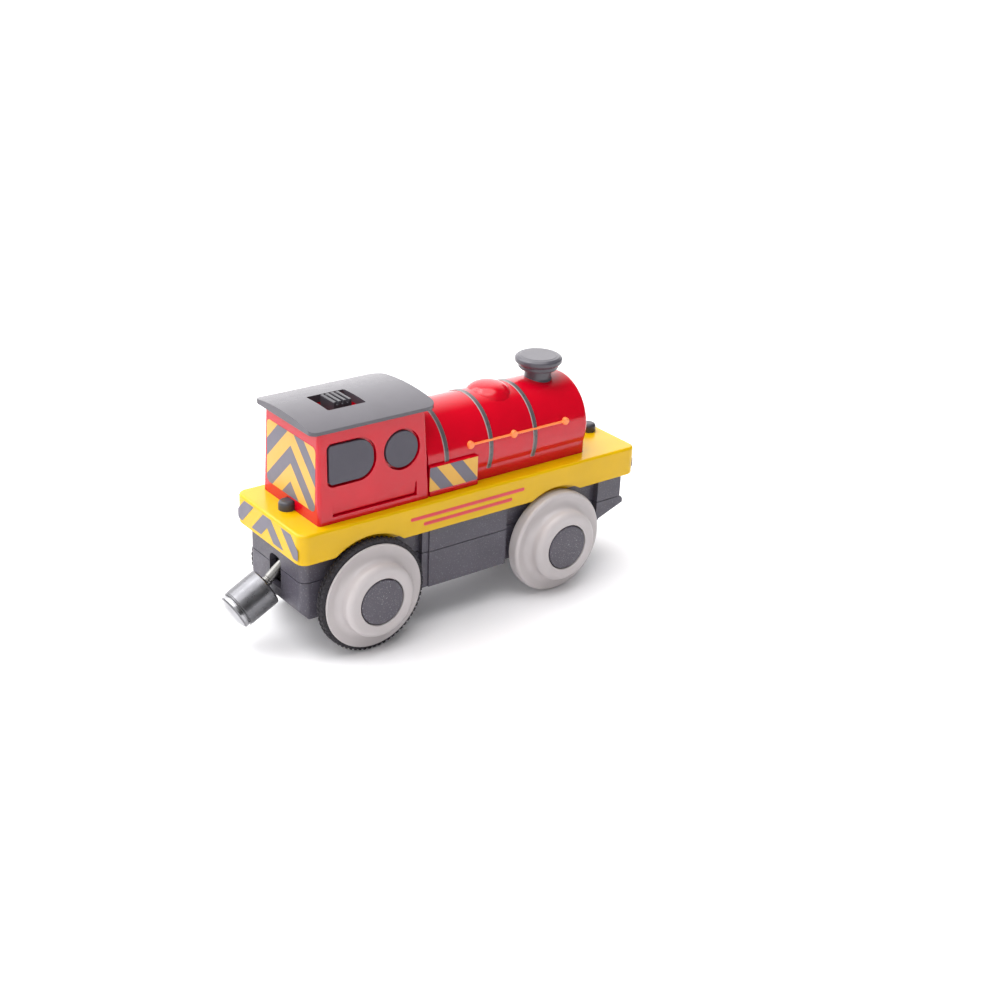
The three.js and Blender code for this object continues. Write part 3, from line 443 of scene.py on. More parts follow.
def metal(name, colour, roughness, scratch=0.004):
    """Bare or plated metal with a faint drawn grain and uneven polish."""
    material = bpy.data.materials.new(name)
    tree, shader = nodes_of(material)
    shader.inputs["Metallic"].default_value = 1.0
    shade = spread(tree, noise(tree, 0.4, 4), 0, 1)
    tree.links.new(mixed(tree, shade, [c * 0.85 for c in colour], colour), shader.inputs["Base Color"])
    polish = spread(tree, noise(tree, 0.8, 4), roughness * 0.85, roughness * 1.2)
    tree.links.new(polish, shader.inputs["Roughness"])
    bumped(tree, shader, noise(tree, 5, 3), scratch)
    return material


def rubber(name, colour):
    material = bpy.data.materials.new(name)
    tree, shader = nodes_of(material)
    dust = spread(tree, noise(tree, 0.9, 5), 0, 1, 0.5, 0.8)
    tree.links.new(mixed(tree, dust, colour, [c * 2.2 for c in colour]), shader.inputs["Base Color"])
    polish = spread(tree, noise(tree, 2.2, 3), 0.62, 0.85)
    tree.links.new(polish, shader.inputs["Roughness"])
    bumped(tree, shader, noise(tree, 7, 3), 0.02)
    return material


YELLOW = plastic("yellow_gloss", (0.68, 0.41, 0.0), 0.24, 0.03, 0.006, 0.7, shine=0.3)
RED = plastic("red_gloss", (0.56, 0.0, 0.012), 0.13, 0.04, 0.004, 0.7)
ROOF_GREY = plastic("roof_grey", (0.08, 0.074, 0.088), 0.22, 0.05, 0.006, 0.6)
TRIM_GREY = plastic("trim_grey", (0.075, 0.07, 0.085), 0.24, 0.05, 0.004, 0.6)
STUD_GREY = plastic("stud_grey", (0.04, 0.04, 0.05), 0.34, 0.05, 0.012, 3.5)
KNOB_GREY = plastic("knob_grey", (0.05, 0.047, 0.056), 0.3, 0.05, 0.006, 1.0)
WINDOW_GREY = plastic("window_grey", (0.058, 0.054, 0.074), 0.42, 0.04, 0.006, 3.0)
CHASSIS_GREY = plastic(
    "chassis_grey", (0.07, 0.064, 0.084), 0.42, 0.08, 0.03, 5.0, fleck=(0.15, 0.145, 0.17)
)
WHEEL_GREY = plastic("wheel_grey", (0.5, 0.465, 0.465), 0.34, 0.03, 0.006, 2.0)
CAP_GREY = plastic("cap_grey", (0.078, 0.071, 0.09), 0.46, 0.06, 0.035, 5.0, fleck=(0.24, 0.235, 0.26))
STICKER_YELLOW = plastic("print_yellow", (0.68, 0.37, 0.05), 0.34, 0.04, 0.003, 2.0)
STICKER_GREY = plastic("print_grey", (0.13, 0.12, 0.155), 0.36, 0.04, 0.003, 2.0)
PRINTS = [STICKER_YELLOW, STICKER_GREY]
PRINT_RED = plastic("print_red", (0.62, 0.03, 0.04), 0.35, 0.04, 0.003, 2.0)
ORANGE = plastic("handrail_orange", (0.95, 0.24, 0.06), 0.3, 0.05, 0.004, 2.0)
BAND_GREY = plastic("band_grey", (0.085, 0.08, 0.085), 0.3, 0.05, 0.004, 2.0)
# A lighter grey for the bands' sloping edge faces: a painted highlight, not a colour of the band itself.
BAND_PAINTED_HIGHLIGHT = plastic("band_edge_painted_highlight", (0.3, 0.25, 0.25), 0.3, 0.05, 0.004, 2.0)
GEAR_WHITE = plastic("gear_white", (0.8, 0.78, 0.7), 0.45, 0.04, 0.01, 2.5)
BOARD_GREEN = plastic("board_green", (0.03, 0.2, 0.08), 0.4, 0.1, 0.01, 2.5)
SLEEVE = plastic("cell_sleeve", (0.22, 0.25, 0.3), 0.25, 0.05, 0.004, 1.5, coat=0.3)
RUBBER = rubber("tyre_rubber", (0.016, 0.014, 0.018))
STEEL = metal("drawn_steel", (0.27, 0.265, 0.255), 0.28, 0.001)
BARREL_METAL = metal("barrel_metal", (0.18, 0.18, 0.19), 0.3, 0.0006)
CHROME = metal("magnet_plate", (0.42, 0.42, 0.435), 0.2, 0.004)
BRASS = metal("brass", (0.8, 0.6, 0.25), 0.28)


# ---- deck ----
def slab_rings(outline, z0, z1, foot, edge):
    """Rings of a slab with a small foot chamfer and a round top edge. outline(inset) gives (x, y)."""
    steps = 6
    levels = [(foot, z0), (0, z0 + foot)]
    for i in range(steps + 1):
        angle = i / steps * math.pi / 2
        levels.append((edge * (1 - math.cos(angle)), z1 - edge + edge * math.sin(angle)))
    return [[(x, y, z) for x, y in outline(inset)] for inset, z in levels]


def deck():
    low, high = DECK_LOW, DECK_HIGH

    def outline(inset):
        return rectangle(
            low.x + inset, high.x - inset, low.y + inset, high.y - inset, DECK_CORNER - inset, 8
        )

    body = working(loft(slab_rings(outline, low.z, high.z, DECK_FOOT, DECK_EDGE)))
    arches = ((REAR_AXLE, TYRE_RADIUS + REAR_ARCH_GAP), (FRONT_AXLE, FRONT_RADIUS + FRONT_ARCH_GAP))
    for axle, radius in arches:
        for side in SIDES.values():
            ends = sorted((side * ARCH_DEPTH, side * (high.y + 1)))
            cut(body, prism(circle(axle.x, axle.z, radius, 128), "y", *ends))
    bays, opening = DECK_BAYS, DECK_OPENING
    for x0, x1 in (
        (low.x + DECK_WALL, along(bays["rear_x1"])),
        (along(bays["front_x0"]), along(bays["front_x1"])),
    ):
        hollow = box(x0, x1, low.y + DECK_WALL, high.y - DECK_WALL, low.z - 1, high.z - DECK_WALL)
        cut(body, hollow)
    half = opening["half"]
    cut(body, box(along(opening["x0"]), along(opening["x1"]), -half, half, low.z - 1, high.z + 1))
    bevelled(body, 0.18, 3, 50)
    piece("deck_body", body, YELLOW, replaces=["deck"])


def striped(name, outline, breaks, slope, mirror, place, colours, keep=None):
    """A thin printed sheet cut into stripes of constant v + slope * u, or of |u| for chevrons.

    place turns (u, v, w) into the frame, with w standing out of the surface. keep drops the other colour.
    """
    thick = 0.06
    bm = bmesh.new()
    bm.faces.new([bm.verts.new((u, v, 0)) for u, v in outline])
    cuts = [((slope, 1), c) for c in breaks]
    if mirror:
        cuts += [((-slope, 1), c) for c in breaks]
        cuts.insert(0, ((1, 0), 0.0))
    for (a, b), c in cuts:
        faces = bm.faces[:]
        if mirror and b:
            faces = [f for f in faces if f.calc_center_median().x * a > 0]
        edges = {e for f in faces for e in f.edges}
        verts = {v for f in faces for v in f.verts}
        normal = Vector((a, b, 0))
        bmesh.ops.bisect_plane(
            bm, geom=[*faces, *edges, *verts],
            plane_co=normal * c / normal.length_squared, plane_no=normal,
        )
    for face in bm.faces[:]:
        centre = face.calc_center_median()
        level = centre.y + slope * (abs(centre.x) if mirror else centre.x)
        face.material_index = sum(level > c for c in breaks) % 2
        if keep is not None and face.material_index != keep:
            bm.faces.remove(face)
    bmesh.ops.delete(bm, geom=[v for v in bm.verts if not v.link_faces], context="VERTS")
    sheet = bm.faces[:]
    rims = [(edge.verts[:], edge.link_faces[0].material_index) for edge in bm.edges if edge.is_boundary]
    tops = {v: bm.verts.new(v.co + Vector((0, 0, thick))) for v in bm.verts[:]}
    for face in sheet:
        bm.faces.new([tops[v] for v in face.verts]).material_index = face.material_index
    for (a, b), index in rims:
        bm.faces.new((a, b, tops[b], tops[a])).material_index = index
    for v in bm.verts:
        v.co = place(v.co.x, v.co.y, v.co.z - thick / 3)
    bmesh.ops.recalc_face_normals(bm, faces=bm.faces)
    piece(name, bm, colours, smooth=20)


def deck_prints():
    """Chevrons on both end faces and a plain double line on each side."""
    edge = DECK_PRINT
    breaks = [edge["first_z"] + CHEVRON_BAND * i for i in range(4)]
    field = rectangle(
        -edge["half"], edge["half"], DECK_LOW.z + edge["foot"], DECK_HIGH.z - edge["head"], edge["corner"]
    )
    ends = {"rear": (DECK_LOW.x, -1), "front": (DECK_HIGH.x, 1)}
    for end, (x, out) in ends.items():
        striped(
            f"deck_{end}_chevrons", field, breaks, 1.0, True,
            lambda u, v, w, x=x, out=out: (x + out * w, u, v), PRINTS, keep=1,
        )
    for hand, side in SIDES.items():
        faces = sorted((side * (DECK_HIGH.y - 0.03), side * (DECK_HIGH.y + 0.04)))
        for level, (z, start, stop) in enumerate(SIDE_LINES):
            outline = rectangle(
                along(start), along(stop), z - SIDE_LINE_HALF, z + SIDE_LINE_HALF, SIDE_LINE_HALF - 0.02
            )
            line = prism(outline, "y", *faces)
            piece(f"deck_{hand}_line_{level + 1}", line, PRINT_RED, smooth=20)


# ---- cab and roof ----
def roof_top(y):
    return ROOF_HIGH.z - ROOF_DROP * (y / ROOF_HIGH.y) ** 2


def under_arch(x0, x1, floor):
    """A block whose top is the roof's arch."""
    steps = 64
    reach = ROOF_HIGH.y + 2
    outline = [(reach, floor), (-reach, floor)]
    for i in range(steps + 1):
        y = -reach + 2 * reach * i / steps
        outline.append((y, roof_top(y)))
    return prism(outline, "x", x0, x1)


def cab_mix(low, high, z):
    return low + (high - low) * (z - CAB_LOW.z) / (CAB_TOP_Z - CAB_LOW.z)


def cab_half(z):
    return cab_mix(CAB["half"], CAB["top_half"], z)


def cab_ring(z, inset=0.0, corner=CAB_CORNER):
    x0 = along(cab_mix(CAB["x0"], CAB["top_x0"], z)) + inset
    x1 = along(cab_mix(CAB["x1"], CAB["top_x1"], z)) - inset
    half = cab_half(z) - inset
    return [(x, y, z) for x, y in rectangle(x0, x1, -half, half, corner)]


def d_outline(grow):
    """The D-shaped window, square to the rear and round to the front, grown on every side."""
    x0, x1 = along(D_WINDOW["x0"]) - grow, along(D_WINDOW["x1"]) + grow
    z0, z1 = D_WINDOW["z0"] - grow, D_WINDOW["z1"] + grow
    back, front = D_WINDOW["back_corner"] + grow, D_WINDOW["front_corner"] + grow
    return rounded([(x0, z0, back), (x1, z0, front), (x1, z1, front), (x0, z1, back)], 10)


def round_outline(grow):
    return circle(along(ROUND_WINDOW["x"]), ROUND_WINDOW["z"], ROUND_WINDOW["radius"] + grow, 72)


WINDOWS = {"d_window": d_outline, "round_window": round_outline}


def side_cut(outline, side, z, deep):
    """A prism that cuts into one side of the cab, to a depth below its surface at height z."""
    return prism(outline, "y", *sorted((side * (cab_half(z) - deep), side * (CAB["half"] + 2))))


def panel_recess(side):
    """The slanting recess under the windows: flush along its top, deepest along its foot."""
    z0, z1 = CAB_PANEL["z0"], CAB_PANEL["z1"]
    away = CAB["half"] + 2
    outline = [(cab_half(z0) - CAB_PANEL["depth"], z0), (away, z0), (away, z1), (cab_half(z1), z1)]
    outline = [(side * y, z) for y, z in outline]
    return prism(outline, "x", along(CAB_PANEL["x0"]), along(CAB_PANEL["x1"]))


def panel_grooves(side):
    """Fine grooves along the recess's foot and its front end."""
    width = 0.3
    x0, x1, z0, z1 = (CAB_PANEL[key] for key in ("x0", "x1", "z0", "z1"))
    y = sorted((side * (CAB["half"] - 1.25), side * (CAB["half"] + 1)))
    return [
        box(along(x0), along(x1), *y, z0, z0 + width + 0.02),
        box(along(x1 - width), along(x1), *y, z0, z1 - 2 * width),
    ]


def cab():
    body = working(loft([cab_ring(CAB_LOW.z), cab_ring(CAB_HIGH.z)]))
    below = CAB_LOW.z - 1
    hole, slot = ROOF_HOLE, KNOB_SLOT
    slot_outline = rectangle(
        along(-slot["half_x"]), along(slot["half_x"]), -slot["half_y"], slot["half_y"], 0.5
    )
    stud = middle("rear_deck_stud")
    notch = [(0, below), (STUD_NOTCH["radius"], below), (STUD_NOTCH["radius"], STUD_NOTCH["z1"])]
    notch.append((0, STUD_NOTCH["z1"]))
    cut(
        body,
        loft([cab_ring(below, CAB_WALL, 0.2), cab_ring(CEILING_Z0, CAB_WALL, 0.2)]),
        box(along(hole["x0"]), along(hole["x1"]), -hole["half"], hole["half"], CEILING_Z1, CUT_TOP),
        prism(slot_outline, "z", CEILING_Z0 - 1, CUT_TOP),
        lathe(notch, centre=(stud.x, 0, 0)),
    )
    for side in SIDES.values():
        for outline in WINDOWS.values():
            cut(body, side_cut(outline(WINDOW_GROOVE), side, WINDOW_RECESS_Z, WINDOW_RECESS))
        cut(body, panel_recess(side), *panel_grooves(side))
    bevelled(body, 0.12, 2, 50)
    piece("cab_body", body, RED, replaces=["cab_shell"])


def window_panel(name, outline, side):
    """A grey pane that fills its recess, leaving a groove round it, and leans with the cab's side."""
    rings = []
    levels = ((0.0, -WINDOW_RECESS - 0.1), (0.0, -0.12), (0.05, -0.05), (0.14, -0.02))
    for inset, height in levels:
        rings.append([(x, side * (cab_half(z) + height), z) for x, z in outline(-inset)])
    piece(name, loft(rings), WINDOW_GREY, smooth=50)


def cab_trim():
    for hand, side in SIDES.items():
        for window, outline in WINDOWS.items():
            window_panel(f"cab_{hand}_{window}", outline, side)
    edge = CAB_PRINT
    field = rectangle(-edge["half"], edge["half"], edge["z0"], edge["z1"], edge["corner"])
    breaks = [edge["first_z"] + CHEVRON_BAND * i for i in range(5)]

    def place(u, v, w):
        return (along(cab_mix(CAB["x0"], CAB["top_x0"], v)) - w, u, v)

    striped("cab_rear_chevrons", field, breaks, 1.0, True, place, PRINTS[::-1])


def roof():
    x0, x1 = ROOF_LOW.x, ROOF_HIGH.x
    y, rear, front = ROOF_HIGH.y, ROOF_REAR_CORNER, ROOF_FRONT_CORNER
    plan = rounded([(x0, -y, rear), (x1, -y, front), (x1, y, front), (x0, y, rear)], 12)
    body = working(prism(plan, "z", ROOF_LOW.z, CUT_TOP))
    combined(body, under_arch(x0 - 1, x1 + 1, CAB_LOW.z), "INTERSECT")
    hole = ROOF_HOLE
    opening = rectangle(along(hole["x0"]), along(hole["x1"]), -hole["half"], hole["half"], 0.4)
    cut(body, prism(opening, "z", CAB_LOW.z, CUT_TOP))
    bevelled(body, ROOF_EDGE, 4, 50)
    piece("roof_panel", body, ROOF_GREY, replaces=["roof"])


# ---- boiler ----
def arch_path(offset, foot):
    """(y, z) points round the boiler's section, offset outward: round above, straight-sided below."""
    steps = 60
    radius = BOILER["radius"] + offset
    half = BOILER["half"] + offset
    below = math.acos(half / radius)
    points = [(half, foot)]
    for i in range(steps + 1):
        angle = (math.pi + 2 * below) * i / steps - below
        points.append((radius * math.cos(angle), BOILER["axis_z"] + radius * math.sin(angle)))
    points.append((-half, foot))
    return points


def boiler():
    foot = DECK_HIGH.z - 0.05
    edge = BOILER["edge"]
    stations = [(BOILER["x0"], 0.0)]
    for i in range(9):
        angle = i / 8 * math.pi / 2
        stations.append((BOILER["x1"] - edge + edge * math.sin(angle), -edge * (1 - math.cos(angle))))
    rings = [[(along(x), y, z) for y, z in arch_path(offset, foot)] for x, offset in stations]
    piece("boiler_body", loft(rings), RED, replaces=["boiler_shell"], smooth=50)


def band(name, x):
    """A painted dark grey hoop. Its sloping edge faces carry a lighter grey as a painted highlight."""
    half = BAND["half"]
    section = [(-half, BAND["root"]), (-half, 0.02), (BAND["edge"] - half, BAND["proud"])]
    section += [(-shift, offset) for shift, offset in reversed(section)]
    paths = []
    for shift, offset in section:
        paths.append([(along(x + shift), y, z) for y, z in arch_path(offset, BAND["foot_z"])])
    bm = loft(list(zip(*paths)))
    for face in bm.faces:
        # Sloping edge faces take the lighter grey: a painted highlight along both edges of the band.
        face.material_index = 1 if 0.3 < abs(face.normal.x) < 0.95 else 0
    piece(name, bm, [BAND_GREY, BAND_PAINTED_HIGHLIGHT], smooth=30)


def dome():
    profile = [
        (5.9, DOME_FOOT_Z), (5.75, 47.6), (5.3, 48.6), (4.7, 49.35), (4.0, 49.9), (3.2, 50.3),
        (2.3, 50.55), (1.2, 50.7), (0, DOME_TOP),
    ]
    bm = lathe([(0, DOME_FOOT_Z), *spline(profile, 5)], centre=(along(DOME_X), 0, 0))
    piece("steam_dome", bm, RED, smooth=60)


def handrail(hand, side):
    """A thin rail with three round knobs, on the boiler's side."""
    lift = HANDRAIL_Z - BOILER["axis_z"]
    surface = math.sqrt(BOILER["radius"] ** 2 - lift**2)
    root, face, corner = surface - 0.5, surface + HANDRAIL_PROUD, HANDRAIL_HALF - 0.05
    foot, head = HANDRAIL_Z - HANDRAIL_HALF, HANDRAIL_Z + HANDRAIL_HALF
    outline = rounded([(root, foot), (face, foot, corner), (face, head, corner), (root, head)], 4)
    rail = prism(outline, "x", along(HANDRAIL_KNOBS[0]), along(HANDRAIL_KNOBS[-1]))
    if side < 0:
        bmesh.ops.scale(rail, vec=(1, -1, 1), verts=rail.verts)
        bmesh.ops.recalc_face_normals(rail, faces=rail.faces)
    piece(f"handrail_{hand}_rail", rail, ORANGE)
    knob = rounded([(0, -0.8), (0.9, -0.8), (0.9, 0.62, 0.3), (0, 0.72)], 5, closed=False)
    for i, x in enumerate(HANDRAIL_KNOBS):
        bm = lathe(knob, "y", (along(x), side * surface, HANDRAIL_Z), side, 40)
        piece(f"handrail_{hand}_knob_{i + 1}", bm, ORANGE, smooth=60)


def stripe_box():
    x0, x1 = along(BOILER["x0"]), along(STRIPE_BOX["x1"])
    half, z0, z1 = STRIPE_BOX["half"], DECK_HIGH.z - 0.05, STRIPE_BOX["z1"]
    body = bevelled(working(box(x0, x1, -half, half, z0, z1)), 0.25, 3, 40)
    piece("stripe_box", body, RED)
    edge = STRIPE_PRINT
    field = rectangle(along(edge["x0"]), along(edge["x1"]), edge["z0"], edge["z1"], 0.15, 2)
    slope = 1 / STRIPES["lean"]
    first = STRIPES["first_z"] + slope * along(STRIPES["first_x"])
    spacing = slope * STRIPES["pitch"]
    breaks = [first + spacing * (i - 1) for i in range(STRIPES["count"])]
    for hand, side in SIDES.items():
        striped(
            f"side_{hand}_stripes", field, breaks, slope, False,
            lambda u, v, w, side=side: (u, side * (half + w), v), PRINTS,
        )


def smokebox_door():
    x = BOILER["x1"] - 1
    proud = 1 + DOOR["proud"]
    rim = rounded([
        (0, 0), (DOOR["radius"], 0), (DOOR["radius"], proud - 0.05, 0.4), (6.2, proud - 0.05, 0.1),
        (6.0, proud - 0.35, 0.1), (1.6, proud - 0.2, 0.1), (1.4, proud - 0.02, 0.15), (0, proud - 0.01),
    ], 4, closed=False)
    bm = lathe(rim, "x", (along(x), 0, DOOR["z"]))
    piece("smokebox_door", bm, RED, smooth=40)


def chimney():
    profile = rounded([
        (0, 46.6), (4.7, 46.6), (4.35, 48.2, 0.4), (3.6, 48.7, 0.5), (3.25, 49.4, 0.5), (3.25, 51.3, 0.25),
        (4.55, 51.55, 0.15), (4.8, 51.85, 0.2), (4.75, 52.55, 0.2), (5.3, 52.85, 0.2), (5.7, 53.3, 0.45),
        (5.68, 54.2, 0.5), (4.95, 54.65, 0.25), (4.5, 54.66, 0.1), (4.3, 54.74, 0.1), (0, 54.75),
    ], 5, closed=False)
    bm = lathe(profile, centre=(along(CHIMNEY_X), 0, 0), segments=112)
    piece("chimney_pot", bm, TRIM_GREY, replaces=["chimney"], smooth=60)


def deck_studs():
    for end in ("rear", "front"):
        node = f"{end}_deck_stud"
        low, high = span(node)
        profile = rounded([
            (0, low.z), (STUD["stem"], low.z), (STUD["stem"], DECK_HIGH.z), (STUD["radius"], DECK_HIGH.z),
            (STUD["radius"], high.z, STUD["edge"]), (0, high.z),
        ], 8, closed=False)
        bm = lathe(profile, centre=(middle(node).x, 0, 0), segments=64)
        piece(f"{end}_deck_pin", bm, STUD_GREY, replaces=[node], smooth=60)


# ---- chassis ----
def chassis_outline(inset=0.0, lip=0.0):
    """(x, y) round the chassis: narrow at the wheels, wide between them and at the nose."""
    x0, x1 = UPPER_LOW.x + inset, UPPER_HIGH.x - inset + lip
    narrow, wide = NARROW - inset, WIDE - inset
    shoulder = along(CHASSIS_STEPS["shoulder"]) + inset
    waist = along(CHASSIS_STEPS["waist"]) + inset
    waist_end = along(CHASSIS_STEPS["waist_end"]) - inset
    nose = along(CHASSIS_STEPS["nose"]) + inset
    half = [
        (x0, narrow, 1.9), (shoulder, narrow), (shoulder, wide - 0.35), (waist, wide - 0.35), (waist, wide),
        (waist_end, wide), (waist_end, narrow), (nose, narrow), (nose, wide), (x1, wide, 0.5),
    ]
    mirrored = [(c[0], -c[1], *c[2:]) for c in reversed(half)]
    return rounded([*half, *mirrored], 6)


def coupling_slot():
    """Cutters for the slot that the coupling swings in, and for the yoke's bore behind it."""
    half, foot, top, corner = (COUPLING_SLOT[key] for key in ("half", "z0", "z1", "corner"))
    outline = rounded([(-half, foot), (half, foot), (half, top, corner), (-half, top, corner)], 10)
    return [
        prism(outline, "x", UPPER_LOW.x - 1, UPPER_LOW.x + 2),
        prism(circle(PIVOT.x, 0, YOKE_HOLE["radius"], 48), "z", YOKE_HOLE["z0"], YOKE_HOLE["z1"]),
    ]


def chassis():
    seam = (UPPER_LOW.z + LOWER_HIGH.z) / 2
    top = UPPER_HIGH.z
    upper = working(prism(chassis_outline(), "z", seam + SEAM_GAP, top))
    cut(
        upper,
        prism(chassis_outline(CHASSIS_WALL), "z", seam - 2, top - 1.2),
        box(along(-9.2), along(3.2), -5.6, 9.4, top - 2.5, top + 1),
        box(along(3), along(16.2), -5.6, 5.6, top - 2.5, top + 1),
        *coupling_slot(),
    )
    bevelled(upper, CHASSIS_EDGE, 2, 50)
    piece("chassis_top", upper, CHASSIS_GREY, replaces=["chassis_upper"])

    base = LOWER_LOW.z
    profile = rounded([
        (UPPER_LOW.x, seam - SEAM_GAP), (UPPER_LOW.x, base + 1.6, 0.5), (UPPER_LOW.x + 1.6, base, 1.0),
        (along(62.5), base, 0.6), (along(67.4), base + 4.4, 0.8), (LOWER_HIGH.x, 16.9, 0.3),
        (LOWER_HIGH.x, 17.8, 0.25), (UPPER_HIGH.x + 0.1, seam - SEAM_GAP),
    ], 5)
    lower = working(prism(profile, "y", -WIDE - 1, WIDE + 1))
    combined(lower, prism(chassis_outline(0, 1.2), "z", base - 1, seam + 1), "INTERSECT")
    inner = rounded([
        (along(-14.2), seam + 1), (along(-14.2), base + 1.2), (along(62), base + 1.2),
        (along(67), base + 5.8), (along(72.4), 17.2), (along(72.4), seam + 1),
    ])
    tray = working(prism(inner, "y", -WIDE, WIDE))
    combined(tray, prism(chassis_outline(CHASSIS_WALL), "z", base, seam + 2), "INTERSECT")
    tray_mesh = bmesh.new()
    tray_mesh.from_mesh(tray.data)
    bpy.data.objects.remove(tray)
    cut(lower, tray_mesh, prism(cover_outline(0.12), "z", base - 1, base + 2), *coupling_slot())
    for axle in (REAR_AXLE, FRONT_AXLE):
        cut(lower, prism(circle(axle.x, axle.z, AXLE_HOLE_RADIUS, 48), "y", -WIDE - 2, WIDE + 2))
    for screw_node in CHASSIS_SCREWS:
        place = middle(screw_node)
        cut(lower, prism(circle(place.x, place.y, SCREW_HOLE_RADIUS, 40), "z", base - 1, base + 1.6))
    bevelled(lower, CHASSIS_EDGE, 2, 50)
    piece("chassis_bottom", lower, CHASSIS_GREY, replaces=["chassis_lower"])


def cover_outline(grow):
    """(x, y) round the battery hatch, with its tab on the right."""
    low, high = span("battery_cover")
    half = HATCH["half"] + grow
    x0, x1 = low.x - grow, high.x + grow
    tab0, tab1 = along(HATCH["tab_x0"]) - grow, along(HATCH["tab_x1"]) + grow
    return rounded([
        (x0, -half, 0.6), (tab0, -half, 0.4), (tab0, low.y - grow, 0.6), (tab1, low.y - grow, 0.6),
        (tab1, -half, 0.4), (x1, -half, 0.6), (x1, half, 0.6), (x0, half, 0.6),
    ], 4)


def battery_cover():
    low, high = span("battery_cover")
    body = working(prism(cover_outline(0), "z", low.z, high.z))
    for i in range(5):
        x = along(HATCH["grip_x"] + HATCH["grip_pitch"] * i)
        cut(body, prism(rectangle(x, x + 1, -3, 3, 0.45), "z", low.z - 1, low.z + 0.4))
    place = middle("cover_screw")
    cut(body, prism(circle(place.x, place.y, SCREW_HOLE_RADIUS, 40), "z", low.z - 1, low.z + 0.7))
    bevelled(body, 0.12, 2, 50)
    piece("battery_hatch", body, CHASSIS_GREY, replaces=["battery_cover"])


def screws():
    """Cross-head screws, heads down."""
    for node in [*CHASSIS_SCREWS, "cover_screw"]:
        low, high = span(node)
        centre = (low + high) / 2
        head = 0.6 if node == "cover_screw" else 1.3
        profile = rounded([
            (0, 0), (1.55, 0, 0.1), (1.85, head * 0.45, 0.15), (1.85, head, 0.1), (1.0, head),
            (1.0, high.z - low.z - 0.8), (0.2, high.z - low.z), (0, high.z - low.z),
        ], 4, closed=False)
        body = working(lathe(profile, centre=(centre.x, centre.y, low.z), segments=40))
        for turn in (0, 1):
            long, short = (1.1, 0.22) if turn else (0.22, 1.1)
            cut(body, box(
                centre.x - long, centre.x + long, centre.y - short, centre.y + short,
                low.z - 1, low.z + head * 0.6,
            ))
        piece(f"{node}_head", body, STEEL, replaces=[node], smooth=40)


# ---- running gear ----
def wheel_profile(radius, seat):
    """Section of a wheel: (radius, distance from the middle plane), round the axle hole."""
    back, face, hub = WHEEL_BACK - 0.7, WHEEL_FACE, HUB_FACE
    well = HUB_CAP_RADIUS + HUB_CAP_GAP
    if seat:
        tread = [
            (radius, back, 0.2), (radius, WHEEL_BACK, 0.1), (seat, WHEEL_BACK), (seat, face - 0.52),
            (radius, face - 0.52, 0.1), (radius, face, 0.28),
        ]
    else:
        tread = [(radius, back, 0.5), (radius, face, 0.75)]
    return rounded([
        (AXLE_RADIUS, back), *tread, (HUB_RADIUS + 0.05, face - 0.75, 1.6), (HUB_RADIUS, hub, 1.5),
        (well, hub, 0.3), (well, hub - 2.6), (AXLE_RADIUS, hub - 2.6),
    ], 7)


def tyre(axle, side):
    """A tyre with herringbone lugs: each ring across it is a toothed circle, twisted towards the middle."""
    y0, y1 = WHEEL_BACK + 0.02, WHEEL_FACE - 0.56
    centre = (y0 + y1) / 2
    across = [y0, y0 + 0.12, centre - 0.14, centre - 0.1, centre + 0.1, centre + 0.14, y1 - 0.12, y1]
    inner = TREAD_SEAT + 0.02
    rings = []
    for y in across:
        in_groove = abs(y - centre) < 0.12
        at_edge = y in (y0, y1)
        twist = (0.5 - abs(y - centre) / (y1 - y0)) * 1.1
        ring = []
        for i in range(LUGS):
            for share, raised in ((0.0, 0), (0.1, 1), (0.55, 1), (0.65, 0)):
                lift = 0 if in_groove else raised
                radius = TYRE_RADIUS - LUG_DEPTH * (1 - lift) - (0.12 if at_edge else 0)
                angle = (i + share + twist) / LUGS * math.tau
                x, z = axle.x + radius * math.cos(angle), axle.z + radius * math.sin(angle)
                ring.append((x, side * y, z))
        rings.append(ring)
    for y in (y1, y0):
        rings.append([(x, side * y, z) for x, z in circle(axle.x, axle.z, inner, 4 * LUGS)])
    return loft(rings, closed=True)


